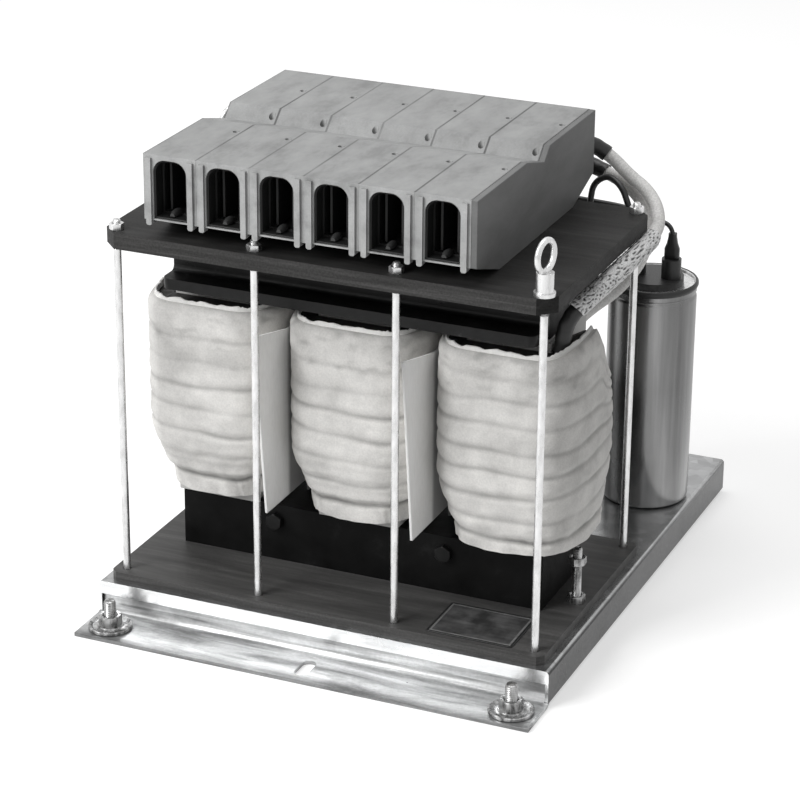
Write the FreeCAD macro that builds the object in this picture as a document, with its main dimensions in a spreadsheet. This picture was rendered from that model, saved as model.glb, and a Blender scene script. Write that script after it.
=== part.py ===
import FreeCAD, Part
import math
import os
import Sketcher

# Three-phase sine wave filter: choke, capacitors and terminals on a folded base.
# Origin: centre of the mounting pattern, on the underside of the two foot rails.
# +X runs to the right along the row of terminals, +Y to the rear, +Z up.

doc = FreeCAD.newDocument("sine_wave_filter")
sheet = doc.addObject("Spreadsheet::Sheet", "Dims")


class Size:
    """A length with its number and the sheet expression that gives it."""

    def __init__(self, value, text):
        self.value = value
        self.text = text

    def __add__(self, other):
        other = as_size(other)
        return Size(self.value + other.value, "(%s + %s)" % (self.text, other.text))

    def __radd__(self, other):
        return as_size(other) + self

    def __sub__(self, other):
        other = as_size(other)
        return Size(self.value - other.value, "(%s - %s)" % (self.text, other.text))

    def __rsub__(self, other):
        return as_size(other) - self

    def __mul__(self, factor):
        return Size(self.value * factor, "(%s * %.9f)" % (self.text, factor))

    def __rmul__(self, factor):
        return self * factor

    def __truediv__(self, divisor):
        return self * (1.0 / divisor)

    def __neg__(self):
        return self * -1.0


def as_size(number):
    if isinstance(number, Size):
        return number
    return Size(float(number), "%.9f" % number)


def dimension(name, value, meaning):
    """Write one driving dimension into the sheet, in millimetres."""
    row = dimension.row
    dimension.row += 1
    sheet.set("A%d" % row, meaning)
    sheet.set("B%d" % row, "%g" % value)
    sheet.setAlias("B%d" % row, name)
    return Size(float(value), "Dims." + name)


dimension.row = 1

# Base
deck_width = dimension("deck_width", 304, "base tray, left to right")
deck_depth = dimension("deck_depth", 346, "base tray, front to rear")
deck_sheet = dimension("deck_sheet", 2, "base tray sheet thickness")
side_gap = dimension("side_gap", 2.5, "side wall edge above the floor")
front_lip = dimension("front_lip", 8.5, "height of the front and rear lips")
rail_height = dimension("rail_height", 22, "foot rail, floor to deck underside")
rail_sheet = dimension("rail_sheet", 2.5, "foot rail sheet thickness")
rail_reach = dimension("rail_reach", 35.5, "bottom flange, from the web outwards")
rail_tuck = dimension("rail_tuck", 25, "top flange, from the web inwards")
rail_bend = dimension("rail_bend", 8, "outer radius of the lower bend")
rail_top_bend = dimension("rail_top_bend", 4, "outer radius of the upper bend")
slot_width = dimension("slot_width", 9, "mounting slot width")
slot_length = dimension("slot_length", 20, "mounting slot length")
slot_inset = dimension("slot_inset", 16, "slot centre to the flange edge")
rear_inset = dimension("rear_inset", 15, "rear rail end inside the deck side")
web_set = dimension("web_set", 0.5, "rail web behind the front lip")
foot_stud_edge = dimension("foot_stud_edge", 17, "foot stud to the end of the rail")
foot_stud_size = dimension("foot_stud_size", 8, "foot stud diameter")
foot_stud_height = dimension("foot_stud_height", 21, "foot stud, floor to tip")
foot_washer_size = dimension("foot_washer_size", 28, "foot washer diameter")
foot_washer_sheet = dimension("foot_washer_sheet", 2.4, "foot washer thickness")
foot_washer_cup = dimension("foot_washer_cup", 1.2, "dishing of the foot washer")
foot_nut_flats = dimension("foot_nut_flats", 13, "foot nut across flats")
foot_nut_height = dimension("foot_nut_height", 6.5, "foot nut height")

# Boards and tie rods
rod_edge = dimension("rod_edge", 14, "outer rods to the side of the deck")
rod_rows = dimension("rod_rows", 160, "distance between the rod rows")
rod_size = dimension("rod_size", 5, "tie rod diameter")
rod_stub = dimension("rod_stub", 2.5, "rod end beyond its nut")
rod_nut_flats = dimension("rod_nut_flats", 8, "rod nut across flats")
rod_nut_height = dimension("rod_nut_height", 4, "rod nut height")
board_margin = dimension("board_margin", 8, "board edge to the rod centres")
board_front = dimension("board_front", 4.5, "board edge behind the deck edge")
lower_board_sheet = dimension("lower_board_sheet", 6, "lower board thickness")
upper_board_sheet = dimension("upper_board_sheet", 10, "upper board thickness")
upper_corner = dimension("upper_corner", 10, "corner chamfer of the upper board")
lower_corner = dimension("lower_corner", 4, "corner chamfer of the lower board")
hole_clearance = dimension("hole_clearance", 0.3, "radial clearance round rods and bolts")
thread_clearance = dimension("thread_clearance", 0.05, "radial gap of a nut on its thread")

# Eye nuts
eye_collar_size = dimension("eye_collar_size", 10.6, "eye nut collar diameter")
eye_collar_height = dimension("eye_collar_height", 14, "eye nut collar height")
eye_ring_size = dimension("eye_ring_size", 18.4, "eye ring, centre line diameter")
eye_ring_wire = dimension("eye_ring_wire", 3.8, "eye ring wire diameter")
eye_washer_size = dimension("eye_washer_size", 13, "eye nut base flange diameter")
eye_washer_sheet = dimension("eye_washer_sheet", 2.2, "eye nut base flange height")
eye_sink = dimension("eye_sink", 1.4, "ring wire sunk in the collar top")

# Core
core_inset = dimension("core_inset", 15, "core end inside the outer rods")
core_depth = dimension("core_depth", 58, "core stack, front to rear")
limb_width = dimension("limb_width", 50, "width of each limb")
limb_height = dimension("limb_height", 139.5, "window height")
yoke_height = dimension("yoke_height", 38, "height of each yoke")
gap_sheet = dimension("gap_sheet", 1.5, "air gap sheet thickness")
clamp_leg = dimension("clamp_leg", 24, "clamp angle, horizontal leg")
clamp_height = dimension("clamp_height", 32, "clamp angle, vertical leg")
clamp_sheet = dimension("clamp_sheet", 7, "clamp angle thickness")
clamp_drop = dimension("clamp_drop", 3, "clamp angle foot above the yoke edge")
clamp_corner = dimension("clamp_corner", 5, "corner radius of the clamp leg")
yoke_bolt_size = dimension("yoke_bolt_size", 6, "yoke bolt diameter")
yoke_bolt_pitch = dimension("yoke_bolt_pitch", 116, "inner yoke bolts, left to right")
yoke_bolt_rise = dimension("yoke_bolt_rise", 12, "upper bolts above the clamp leg")
lower_bolt_rise = dimension("lower_bolt_rise", 27, "lower bolts above the lower board")
yoke_head_flats = dimension("yoke_head_flats", 10, "yoke bolt head across flats")
yoke_head_height = dimension("yoke_head_height", 4, "yoke bolt head height")

# Coils
coil_spacing = dimension("coil_spacing", 6, "gap between two coils")
coil_depth = dimension("coil_depth", 108, "coil, front to rear")
coil_height = dimension("coil_height", 128.5, "coil height")
coil_corner = dimension("coil_corner", 32, "plan corner radius of the coil")
coil_rise = dimension("coil_rise", 6.5, "coil foot above the lower yoke")
coil_taper = dimension("coil_taper", 28, "height of the tapered foot")
coil_taper_in = dimension("coil_taper_in", 12, "inset of the tapered foot")
coil_shoulder = dimension("coil_shoulder", 6, "height of the rounded shoulder")
coil_shoulder_in = dimension("coil_shoulder_in", 4, "inset of the shoulder")
collar_height = dimension("collar_height", 3.5, "paper collar above the coil")
collar_inset = dimension("collar_inset", 6, "collar inside the coil outline")
collar_wall = dimension("collar_wall", 1.6, "collar thickness")
former_wall = dimension("former_wall", 1.5, "former wall")
former_clearance = dimension("former_clearance", 0.3, "former to limb and coil to former")
barrier_sheet = dimension("barrier_sheet", 1.6, "phase separator thickness")
barrier_front_top = dimension("barrier_front_top", 23, "separator beyond the coil, top")
barrier_front_foot = dimension("barrier_front_foot", 7, "separator beyond the coil, foot")
barrier_foot = dimension("barrier_foot", 2.5, "separator foot above the coil foot")
barrier_head = dimension("barrier_head", 3, "separator front corner below the coil top")
barrier_drop = dimension("barrier_drop", 11, "separator top falls to the rear")

# Terminal blocks
terminal_pitch = dimension("terminal_pitch", 35, "terminal width")
terminal_start = dimension("terminal_start", 115, "left terminal face, left of centre")
terminal_length = dimension("terminal_length", 196, "terminal, front to rear")
terminal_height = dimension("terminal_height", 53, "terminal height")
terminal_overhang = dimension("terminal_overhang", 1, "front face behind the board edge")
chin_height = dimension("chin_height", 12, "raised front and rear undersides")
chin_depth = dimension("chin_depth", 36, "length of each raised underside")
opening_width = dimension("opening_width", 22, "conductor opening width")
opening_height = dimension("opening_height", 37, "conductor opening height")
opening_floor = dimension("opening_floor", 1, "wall below the opening")
opening_corner = dimension("opening_corner", 8, "radius of the upper corners")
front_cavity = dimension("front_cavity", 72, "depth of the front cavity")
rear_cavity = dimension("rear_cavity", 50, "depth of the rear cavity")
rim_width = dimension("rim_width", 4.6, "rim round the opening")
rim_proud = dimension("rim_proud", 1.6, "rim in front of the face")
rim_root = dimension("rim_root", 4, "rim ribs sunk behind the face")
rim_rise = dimension("rim_rise", 1, "rim ribs above the opening")
rim_foot = dimension("rim_foot", 4, "rim ribs below the opening")
notch_start = dimension("notch_start", 78, "notch edge behind the front face")
notch_slope = dimension("notch_slope", 29, "length of the gentle slope")
notch_return = dimension("notch_return", 9, "length of the steep slope")
notch_depth = dimension("notch_depth", 8, "depth of the notch")
key_hole_size = dimension("key_hole_size", 4.2, "key hole diameter")
key_hole_depth = dimension("key_hole_depth", 9, "key hole depth")
key_hole_edge = dimension("key_hole_edge", 3.6, "key hole to the terminal side")
key_hole_front = dimension("key_hole_front", 61, "front key hole behind the face")
key_hole_rear = dimension("key_hole_rear", 39, "rear key hole before the rear face")
recess_width = dimension("recess_width", 17, "recess over the rear rods, front to rear")
recess_height = dimension("recess_height", 8, "height of that recess")
end_plate_sheet = dimension("end_plate_sheet", 4, "end plate thickness")
bar_width = dimension("bar_width", 13, "current bar width")
bar_sheet = dimension("bar_sheet", 4, "current bar thickness")
bar_rise = dimension("bar_rise", 24, "current bar above the opening floor")
bar_inset = dimension("bar_inset", 36, "current bar end behind the faces")
cage_width = dimension("cage_width", 19, "clamp cage width")
cage_depth = dimension("cage_depth", 15, "clamp cage depth")
cage_sheet = dimension("cage_sheet", 2, "clamp cage strip thickness")
spindle_size = dimension("spindle_size", 3.4, "clamp spindle diameter")
spindle_length = dimension("spindle_length", 20, "clamp spindle length")

# Capacitors
can_size = dimension("can_size", 58, "can diameter")
can_height = dimension("can_height", 155, "can height")
can_wall = dimension("can_wall", 1, "can wall at the rim")
can_foot = dimension("can_foot", 3, "radius at the can foot")
can_bead = dimension("can_bead", 1, "rolled rim beyond the can")
can_bead_height = dimension("can_bead_height", 4, "rolled rim height")
can_dish = dimension("can_dish", 3, "lid below the rim")
can_edge = dimension("can_edge", 33, "outer can axis to the side of the deck")
can_gap = dimension("can_gap", 69, "can row behind the terminal blocks")
can_stud_size = dimension("can_stud_size", 12, "can stud diameter")
can_stud_length = dimension("can_stud_length", 15, "can stud length")
can_nut_flats = dimension("can_nut_flats", 17, "can nut across flats")
can_nut_height = dimension("can_nut_height", 6, "can nut height")
lid_size = dimension("lid_size", 40, "insulating lid diameter")
lid_height = dimension("lid_height", 5, "insulating lid height")
post_size = dimension("post_size", 13, "lid post diameter")
post_height = dimension("post_height", 13, "lid post height")
post_pitch = dimension("post_pitch", 24, "distance between the lid posts")
tab_width = dimension("tab_width", 6.3, "blade width")
tab_sheet = dimension("tab_sheet", 0.8, "blade thickness")
tab_height = dimension("tab_height", 8, "blade height")

# Earth stud and rating plate
earth_size = dimension("earth_size", 6, "earth stud diameter")
earth_height = dimension("earth_height", 37, "earth stud height")
earth_row = dimension("earth_row", 72, "earth stud behind the front rods")
earth_nut_flats = dimension("earth_nut_flats", 10, "earth nut across flats")
earth_nut_height = dimension("earth_nut_height", 5, "earth nut height")
earth_nut_rise = dimension("earth_nut_rise", 26, "upper earth nut above the board")
plate_width = dimension("plate_width", 56, "rating plate width")
plate_depth = dimension("plate_depth", 42, "rating plate depth")
plate_sheet = dimension("plate_sheet", 0.8, "rating plate thickness")
plate_edge = dimension("plate_edge", 21.5, "rating plate to the right board edge")
plate_front = dimension("plate_front", 4.5, "rating plate to the front board edge")

# Leads
lead_size = dimension("lead_size", 8.5, "coil lead diameter")
wire_size = dimension("wire_size", 4, "capacitor wire diameter")
jumper_size = dimension("jumper_size", 3, "jumper wire diameter")
sleeve_wall = dimension("sleeve_wall", 1.6, "braided sleeve wall")
lead_gap = dimension("lead_gap", 0.3, "lead to what it lies against")
lead_spread = dimension("lead_spread", 14, "coil leads either side of the coil centre")
lead_drop = dimension("lead_drop", 13, "coil leads below the coil top")
lead_shift = dimension("lead_shift", 2.25, "lead ends beside the bar centres")
lead_back = dimension("lead_back", 26, "coil leads rise behind the terminal blocks")
wire_loop = dimension("wire_loop", 20, "width of the loop in a capacitor wire")
wire_drop = dimension("wire_drop", 12, "capacitor wires below the coil leads")

# Places worked out from the sizes above
ZERO = as_size(0)
deck_top = rail_height + deck_sheet
foot_stud_pitch = deck_width - foot_stud_edge * 2
web_face = deck_depth / 2 - deck_sheet - web_set
flange_edge = web_face + rail_reach
slot_row = flange_edge - slot_inset
rod_pitch = (deck_width - rod_edge * 2) / 3
board_front_y = -deck_depth / 2 + board_front
rod_front_y = board_front_y + board_margin
rod_rear_y = rod_front_y + rod_rows
rod_mid_y = rod_front_y + rod_rows / 2
board_rear_y = rod_rear_y + board_margin
board_half = rod_pitch * 1.5 + board_margin
lower_board_top = deck_top + lower_board_sheet
lower_yoke_top = lower_board_top + yoke_height
limb_top = lower_yoke_top + limb_height
upper_yoke_foot = limb_top + gap_sheet
upper_board_foot = upper_yoke_foot + yoke_height
upper_board_top = upper_board_foot + upper_board_sheet
core_width = rod_pitch * 3 - core_inset * 2
limb_pitch = (core_width - limb_width) / 2
coil_width = limb_pitch - coil_spacing
core_front_y = rod_mid_y - core_depth / 2
core_rear_y = rod_mid_y + core_depth / 2
coil_foot = lower_yoke_top + coil_rise
coil_top = coil_foot + coil_height
clamp_foot = upper_yoke_foot + clamp_drop
terminal_front_y = board_front_y + terminal_overhang
terminal_rear_y = terminal_front_y + terminal_length
terminal_top = upper_board_top + terminal_height
opening_foot = upper_board_top + chin_height + opening_floor
opening_head = opening_foot + opening_height
terminal_end_x = terminal_pitch * 6 - terminal_start
bar_foot = opening_foot + bar_rise
can_pitch = deck_width / 2 - can_edge
can_row = terminal_rear_y + can_gap
rod_columns = [rod_pitch * step for step in (-1.5, -0.5, 0.5, 1.5)]
limb_columns = {"left": -limb_pitch, "middle": ZERO, "right": limb_pitch}
can_columns = {"left": -can_pitch, "middle": ZERO, "right": can_pitch}


# Sketch and feature helpers
def new_body(label):
    body = doc.addObject("PartDesign::Body", label)
    body.Label = label
    return body


def new_sketch(body, plane, offset=ZERO):
    """A sketch on one of the body's own origin planes, moved along its normal."""
    sketch = body.newObject("Sketcher::SketchObject", "Sketch")
    support = [item for item in body.Origin.OriginFeatures if item.Role == plane][0]
    sketch.AttachmentSupport = [(support, "")]
    sketch.MapMode = "FlatFace"
    sketch.setExpression("AttachmentOffset.Base.z", as_size(offset).text)
    return sketch


def bind(sketch, constraint, expression):
    index = sketch.addConstraint(constraint)
    sketch.setExpression("Constraints[%d]" % index, expression)


def pin_point(sketch, curve, point, x, y):
    """Tie a point of a curve to the sketch origin by two sheet expressions."""
    x, y = as_size(x), as_size(y)
    bind(sketch, Sketcher.Constraint("DistanceX", -1, 1, curve, point, x.value), x.text)
    bind(sketch, Sketcher.Constraint("DistanceY", -1, 1, curve, point, y.value), y.text)


def add_outline(sketch, points):
    """A closed outline of straight lines through points given as sizes."""
    points = [(as_size(x), as_size(y)) for x, y in points]
    first = sketch.GeometryCount
    count = len(points)
    for number in range(count):
        start = points[number]
        end = points[(number + 1) % count]
        sketch.addGeometry(Part.LineSegment(
            FreeCAD.Vector(start[0].value, start[1].value, 0),
            FreeCAD.Vector(end[0].value, end[1].value, 0)), False)
    for number in range(count):
        following = first + (number + 1) % count
        sketch.addConstraint(Sketcher.Constraint("Coincident", first + number, 2, following, 1))
    for number in range(count):
        pin_point(sketch, first + number, 1, points[number][0], points[number][1])


def add_rectangle(sketch, x_low, y_low, x_high, y_high):
    add_outline(sketch, [(x_low, y_low), (x_high, y_low), (x_high, y_high), (x_low, y_high)])


def add_circle(sketch, x, y, diameter):
    x, y, diameter = as_size(x), as_size(y), as_size(diameter)
    curve = sketch.addGeometry(Part.Circle(
        FreeCAD.Vector(x.value, y.value, 0), FreeCAD.Vector(0, 0, 1), diameter.value / 2), False)
    pin_point(sketch, curve, 3, x, y)
    bind(sketch, Sketcher.Constraint("Diameter", curve, diameter.value), diameter.text)


def add_hexagon(sketch, x, y, flats):
    corner = as_size(flats) / math.sqrt(3)
    points = []
    for step in range(6):
        angle = math.radians(60 * step + 30)
        points.append((x + corner * math.cos(angle), y + corner * math.sin(angle)))
    add_outline(sketch, points)


def add_slot(sketch, x, y, length, width):
    """A slot that runs along the sketch's second axis."""
    x, y, length, width = as_size(x), as_size(y), as_size(length), as_size(width)
    reach = (length - width) / 2
    radius = width / 2
    axis = FreeCAD.Vector(0, 0, 1)
    top = Part.Circle(FreeCAD.Vector(x.value, (y + reach).value, 0), axis, radius.value)
    foot = Part.Circle(FreeCAD.Vector(x.value, (y - reach).value, 0), axis, radius.value)
    upper = sketch.addGeometry(Part.ArcOfCircle(top, 0, math.pi), False)
    lower = sketch.addGeometry(Part.ArcOfCircle(foot, math.pi, 2 * math.pi), False)
    left = sketch.addGeometry(Part.LineSegment(
        FreeCAD.Vector((x - radius).value, (y + reach).value, 0),
        FreeCAD.Vector((x - radius).value, (y - reach).value, 0)), False)
    right = sketch.addGeometry(Part.LineSegment(
        FreeCAD.Vector((x + radius).value, (y - reach).value, 0),
        FreeCAD.Vector((x + radius).value, (y + reach).value, 0)), False)
    sketch.addConstraint(Sketcher.Constraint("Tangent", upper, 2, left, 1))
    sketch.addConstraint(Sketcher.Constraint("Tangent", left, 2, lower, 1))
    sketch.addConstraint(Sketcher.Constraint("Tangent", lower, 2, right, 1))
    sketch.addConstraint(Sketcher.Constraint("Tangent", right, 2, upper, 1))
    sketch.addConstraint(Sketcher.Constraint("Equal", upper, lower))
    pin_point(sketch, upper, 3, x, y + reach)
    pin_point(sketch, lower, 3, x, y - reach)
    bind(sketch, Sketcher.Constraint("Radius", upper, radius.value), radius.text)


def pad(body, sketch, length, reverse=False):
    feature = body.newObject("PartDesign::Pad", "Pad")
    feature.Profile = sketch
    feature.setExpression("Length", as_size(length).text)
    feature.Reversed = reverse
    doc.recompute()
    return feature


def pocket(body, sketch, length, reverse=False):
    """Cut along the sketch's normal when reverse is True, and against it otherwise."""
    feature = body.newObject("PartDesign::Pocket", "Pocket")
    feature.Profile = sketch
    feature.setExpression("Length", as_size(length).text)
    feature.Reversed = reverse
    doc.recompute()
    return feature


def revolve(body, sketch):
    """Turn a profile about the sketch's vertical axis."""
    feature = body.newObject("PartDesign::Revolution", "Revolution")
    feature.Profile = sketch
    feature.ReferenceAxis = (sketch, ["V_Axis"])
    feature.Angle = 360
    doc.recompute()
    return feature


def fillet(body, base, radius, wanted):
    """Round the straight edges of base for which wanted(middle, direction) is true."""
    names = []
    for number, edge in enumerate(base.Shape.Edges):
        if edge.Curve.TypeId != "Part::GeomLine":
            continue
        middle = edge.valueAt((edge.FirstParameter + edge.LastParameter) / 2)
        if wanted(middle, edge.tangentAt(edge.FirstParameter)):
            names.append("Edge%d" % (number + 1))
    feature = body.newObject("PartDesign::Fillet", "Fillet")
    feature.Base = (base, names)
    feature.setExpression("Radius", as_size(radius).text)
    doc.recompute()
    return feature


def along(axis, *places):
    """A test for edges parallel to axis that pass near one of the given places."""
    others = [name for name in "xyz" if name != axis]

    def wanted(middle, direction):
        if abs(getattr(direction, axis)) < 0.99:
            return False
        for first, second in places:
            first_gap = abs(getattr(middle, others[0]) - as_size(first).value)
            second_gap = abs(getattr(middle, others[1]) - as_size(second).value)
            if first_gap < 0.05 and second_gap < 0.05:
                return True
        return False

    return wanted


def rods(label, centres, diameter, foot, height):
    """Upright round rods that share one node."""
    body = new_body(label)
    sketch = new_sketch(body, "XY_Plane", foot)
    for x, y in centres:
        add_circle(sketch, x, y, diameter)
    pad(body, sketch, height)


def add_nuts(body, centres, flats, bore, foot, height):
    sketch = new_sketch(body, "XY_Plane", foot)
    for x, y in centres:
        add_hexagon(sketch, x, y, flats)
        add_circle(sketch, x, y, bore + thread_clearance * 2)
    pad(body, sketch, height)


# Base tray and foot rails
def make_base_tray():
    body = new_body("base_tray")
    profile = new_sketch(body, "XZ_Plane", -deck_depth / 2)
    half = deck_width / 2
    inner = half - deck_sheet
    add_outline(profile, [
        (-half, side_gap), (-inner, side_gap), (-inner, rail_height), (inner, rail_height),
        (inner, side_gap), (half, side_gap), (half, deck_top), (-half, deck_top)])
    shell = pad(body, profile, deck_depth)
    fillet(body, shell, deck_sheet * 1.25, along("y", (half, deck_top), (-half, deck_top)))
    for side in (-1, 1):
        lip = new_sketch(body, "XY_Plane", deck_top - front_lip)
        outer = deck_depth / 2 * side
        add_rectangle(lip, -inner, outer, inner, outer - deck_sheet * side)
        pad(body, lip, front_lip - deck_sheet)
    holes = new_sketch(body, "XY_Plane", rail_height)
    for x in rod_columns:
        for y in (rod_front_y, rod_rear_y):
            add_circle(holes, x, y, rod_size + hole_clearance * 2)
    for x in can_columns.values():
        add_circle(holes, x, can_row, can_stud_size + hole_clearance * 2)
    pocket(body, holes, deck_sheet, True)


def make_foot_rail(label, side):
    """One folded foot rail, at the front for side -1 and at the rear for side 1."""
    body = new_body(label)
    half = deck_width / 2 if side < 0 else deck_width / 2 - rear_inset
    profile = new_sketch(body, "YZ_Plane", -half)
    inner_web = (web_face - rail_sheet) * side
    web = web_face * side
    tuck = (web_face - rail_tuck) * side
    edge = flange_edge * side
    add_outline(profile, [
        (edge, ZERO), (inner_web, ZERO), (inner_web, rail_height - rail_sheet),
        (tuck, rail_height - rail_sheet), (tuck, rail_height), (web, rail_height),
        (web, rail_sheet), (edge, rail_sheet)])
    rail = pad(body, profile, half * 2)
    rail = fillet(body, rail, rail_bend, along("x", (inner_web, ZERO)))
    rail = fillet(body, rail, rail_bend - rail_sheet, along("x", (web, rail_sheet)))
    rail = fillet(body, rail, rail_top_bend, along("x", (web, rail_height)))
    fillet(body, rail, rail_top_bend - rail_sheet, along("x", (inner_web, rail_height - rail_sheet)))
    openings = new_sketch(body, "XY_Plane")
    add_slot(openings, ZERO, slot_row * side, slot_length, slot_width)
    if side > 0:
        pocket(body, openings, rail_sheet, True)
        return
    for x, y in foot_studs:
        add_circle(openings, x, y, foot_stud_size + thread_clearance * 2)
    pocket(body, openings, rail_sheet, True)
    notches = new_sketch(body, "XY_Plane", rail_sheet)
    for end in (-1, 1):
        inner_x = (half - deck_sheet - hole_clearance) * end
        outer_y = -deck_depth / 2 - hole_clearance
        add_rectangle(notches, inner_x, tuck, half * end, outer_y)
    pocket(body, notches, rail_height, True)
    rod_holes = new_sketch(body, "XY_Plane", rail_height - rail_sheet)
    for x in rod_columns:
        add_circle(rod_holes, x, rod_front_y, rod_size + hole_clearance * 2)
    pocket(body, rod_holes, rail_sheet, True)


foot_studs = [(-foot_stud_pitch / 2, -slot_row), (foot_stud_pitch / 2, -slot_row)]


def make_foot_hardware():
    rods("foot_studs", foot_studs, foot_stud_size, ZERO, foot_stud_height)
    washers = new_body("foot_washers")
    sketch = new_sketch(washers, "XY_Plane", rail_sheet)
    for x, y in foot_studs:
        add_circle(sketch, x, y, foot_washer_size)
        add_circle(sketch, x, y, foot_stud_size + hole_clearance * 2)
    pad(washers, sketch, foot_washer_sheet)
    dish = new_sketch(washers, "XY_Plane", rail_sheet + foot_washer_sheet)
    for x, y in foot_studs:
        add_circle(dish, x, y, foot_washer_size - foot_washer_sheet * 1.5)
        add_circle(dish, x, y, foot_nut_flats + foot_washer_sheet * 1.5)
    pocket(washers, dish, foot_washer_cup)
    nuts = new_body("foot_nuts")
    add_nuts(nuts, foot_studs, foot_nut_flats, foot_stud_size,
             rail_sheet + foot_washer_sheet, foot_nut_height)


# Boards, tie rods and eye nuts
front_rods = [(x, rod_front_y) for x in rod_columns]
rear_rods = [(x, rod_rear_y) for x in rod_columns]
eye_places = {"front": (rod_columns[3], rod_front_y), "rear": (rod_columns[0], rod_rear_y)}


def make_board(label, foot, sheet_height, corner):
    body = new_body(label)
    sketch = new_sketch(body, "XY_Plane", foot)
    add_outline(sketch, [
        (corner - board_half, board_front_y), (board_half - corner, board_front_y),
        (board_half, board_front_y + corner), (board_half, board_rear_y - corner),
        (board_half - corner, board_rear_y), (corner - board_half, board_rear_y),
        (-board_half, board_rear_y - corner), (-board_half, board_front_y + corner)])
    for x, y in front_rods + rear_rods:
        add_circle(sketch, x, y, rod_size + hole_clearance * 2)
    pad(body, sketch, sheet_height)


def make_tie_rods():
    front_foot = rail_height - rail_sheet - rod_nut_height
    rod_foot = front_foot - rod_stub
    rod_top = upper_board_top + rod_nut_height + rod_stub
    rods("tie_rods", front_rods + rear_rods, rod_size, rod_foot, rod_top - rod_foot)
    nuts = new_body("tie_rod_nuts")
    add_nuts(nuts, front_rods, rod_nut_flats, rod_size, front_foot, rod_nut_height)
    add_nuts(nuts, rear_rods, rod_nut_flats, rod_size, rail_height - rod_nut_height, rod_nut_height)
    plain = front_rods[:3] + rear_rods[1:]
    add_nuts(nuts, plain, rod_nut_flats, rod_size, upper_board_top, rod_nut_height)


def make_eye_nut(label, place, turn):
    """A base flange, a collar that screws on the rod, and the lifting ring."""
    foot = upper_board_top
    collar_top = foot + eye_collar_height
    ring_centre = collar_top + eye_ring_size / 2 + eye_ring_wire / 2 - eye_sink
    flange = doc.addObject("Part::Cylinder", label + "_flange")
    flange.setExpression("Radius", (eye_washer_size / 2).text)
    flange.setExpression("Height", eye_washer_sheet.text)
    collar = doc.addObject("Part::Cylinder", label + "_collar")
    collar.setExpression("Radius", (eye_collar_size / 2).text)
    collar.setExpression("Height", eye_collar_height.text)
    ring = doc.addObject("Part::Torus", label + "_ring")
    ring.setExpression("Radius1", (eye_ring_size / 2).text)
    ring.setExpression("Radius2", (eye_ring_wire / 2).text)
    ring.Placement = FreeCAD.Placement(
        FreeCAD.Vector(0, 0, 0), FreeCAD.Rotation(FreeCAD.Vector(1, 0, 0), 90))
    ring.setExpression("Placement.Base.z", (ring_centre - foot).text)
    whole = doc.addObject("Part::MultiFuse", label + "_blank")
    whole.Shapes = [flange, collar, ring]
    bore = doc.addObject("Part::Cylinder", label + "_bore")
    bore.setExpression("Radius", (rod_size / 2 + thread_clearance).text)
    bore.setExpression("Height", (rod_nut_height + rod_stub * 1.5).text)
    eye = doc.addObject("Part::Cut", label)
    eye.Label = label
    eye.Base = whole
    eye.Tool = bore
    eye.Placement = FreeCAD.Placement(
        FreeCAD.Vector(0, 0, 0), FreeCAD.Rotation(FreeCAD.Vector(0, 0, 1), turn))
    eye.setExpression("Placement.Base.x", place[0].text)
    eye.setExpression("Placement.Base.y", place[1].text)
    eye.setExpression("Placement.Base.z", foot.text)


# Core with its air gap sheet and clamp angles
yoke_bolt_ends = core_width / 2 - yoke_bolt_size * 2
upper_bolt_z = clamp_foot + clamp_sheet + yoke_bolt_rise
lower_bolt_z = lower_board_top + lower_bolt_rise
lower_bolts = [(-yoke_bolt_pitch / 2, lower_bolt_z), (yoke_bolt_pitch / 2, lower_bolt_z)]
upper_bolts = [(-yoke_bolt_ends, upper_bolt_z), (-yoke_bolt_pitch / 2, upper_bolt_z),
               (yoke_bolt_pitch / 2, upper_bolt_z), (yoke_bolt_ends, upper_bolt_z)]


def make_core():
    limbs = new_body("core_limbs")
    profile = new_sketch(limbs, "XZ_Plane", -core_rear_y)
    half = core_width / 2
    inner = limb_pitch - limb_width / 2
    add_outline(profile, [
        (-half, lower_board_top), (half, lower_board_top), (half, limb_top), (inner, limb_top),
        (inner, lower_yoke_top), (limb_width / 2, lower_yoke_top), (limb_width / 2, limb_top),
        (-limb_width / 2, limb_top), (-limb_width / 2, lower_yoke_top),
        (-inner, lower_yoke_top), (-inner, limb_top), (-half, limb_top)])
    for x, z in lower_bolts:
        add_circle(profile, x, z, yoke_bolt_size + hole_clearance * 2)
    pad(limbs, profile, core_depth)
    gap = new_body("air_gap_sheet")
    sketch = new_sketch(gap, "XY_Plane", limb_top)
    add_rectangle(sketch, -half, core_front_y, half, core_rear_y)
    pad(gap, sketch, gap_sheet)
    yoke = new_body("core_yoke")
    sketch = new_sketch(yoke, "XZ_Plane", -core_rear_y)
    add_rectangle(sketch, -half, upper_yoke_foot, half, upper_board_foot)
    for x, z in upper_bolts:
        add_circle(sketch, x, z, yoke_bolt_size + hole_clearance * 2)
    pad(yoke, sketch, core_depth)


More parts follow.
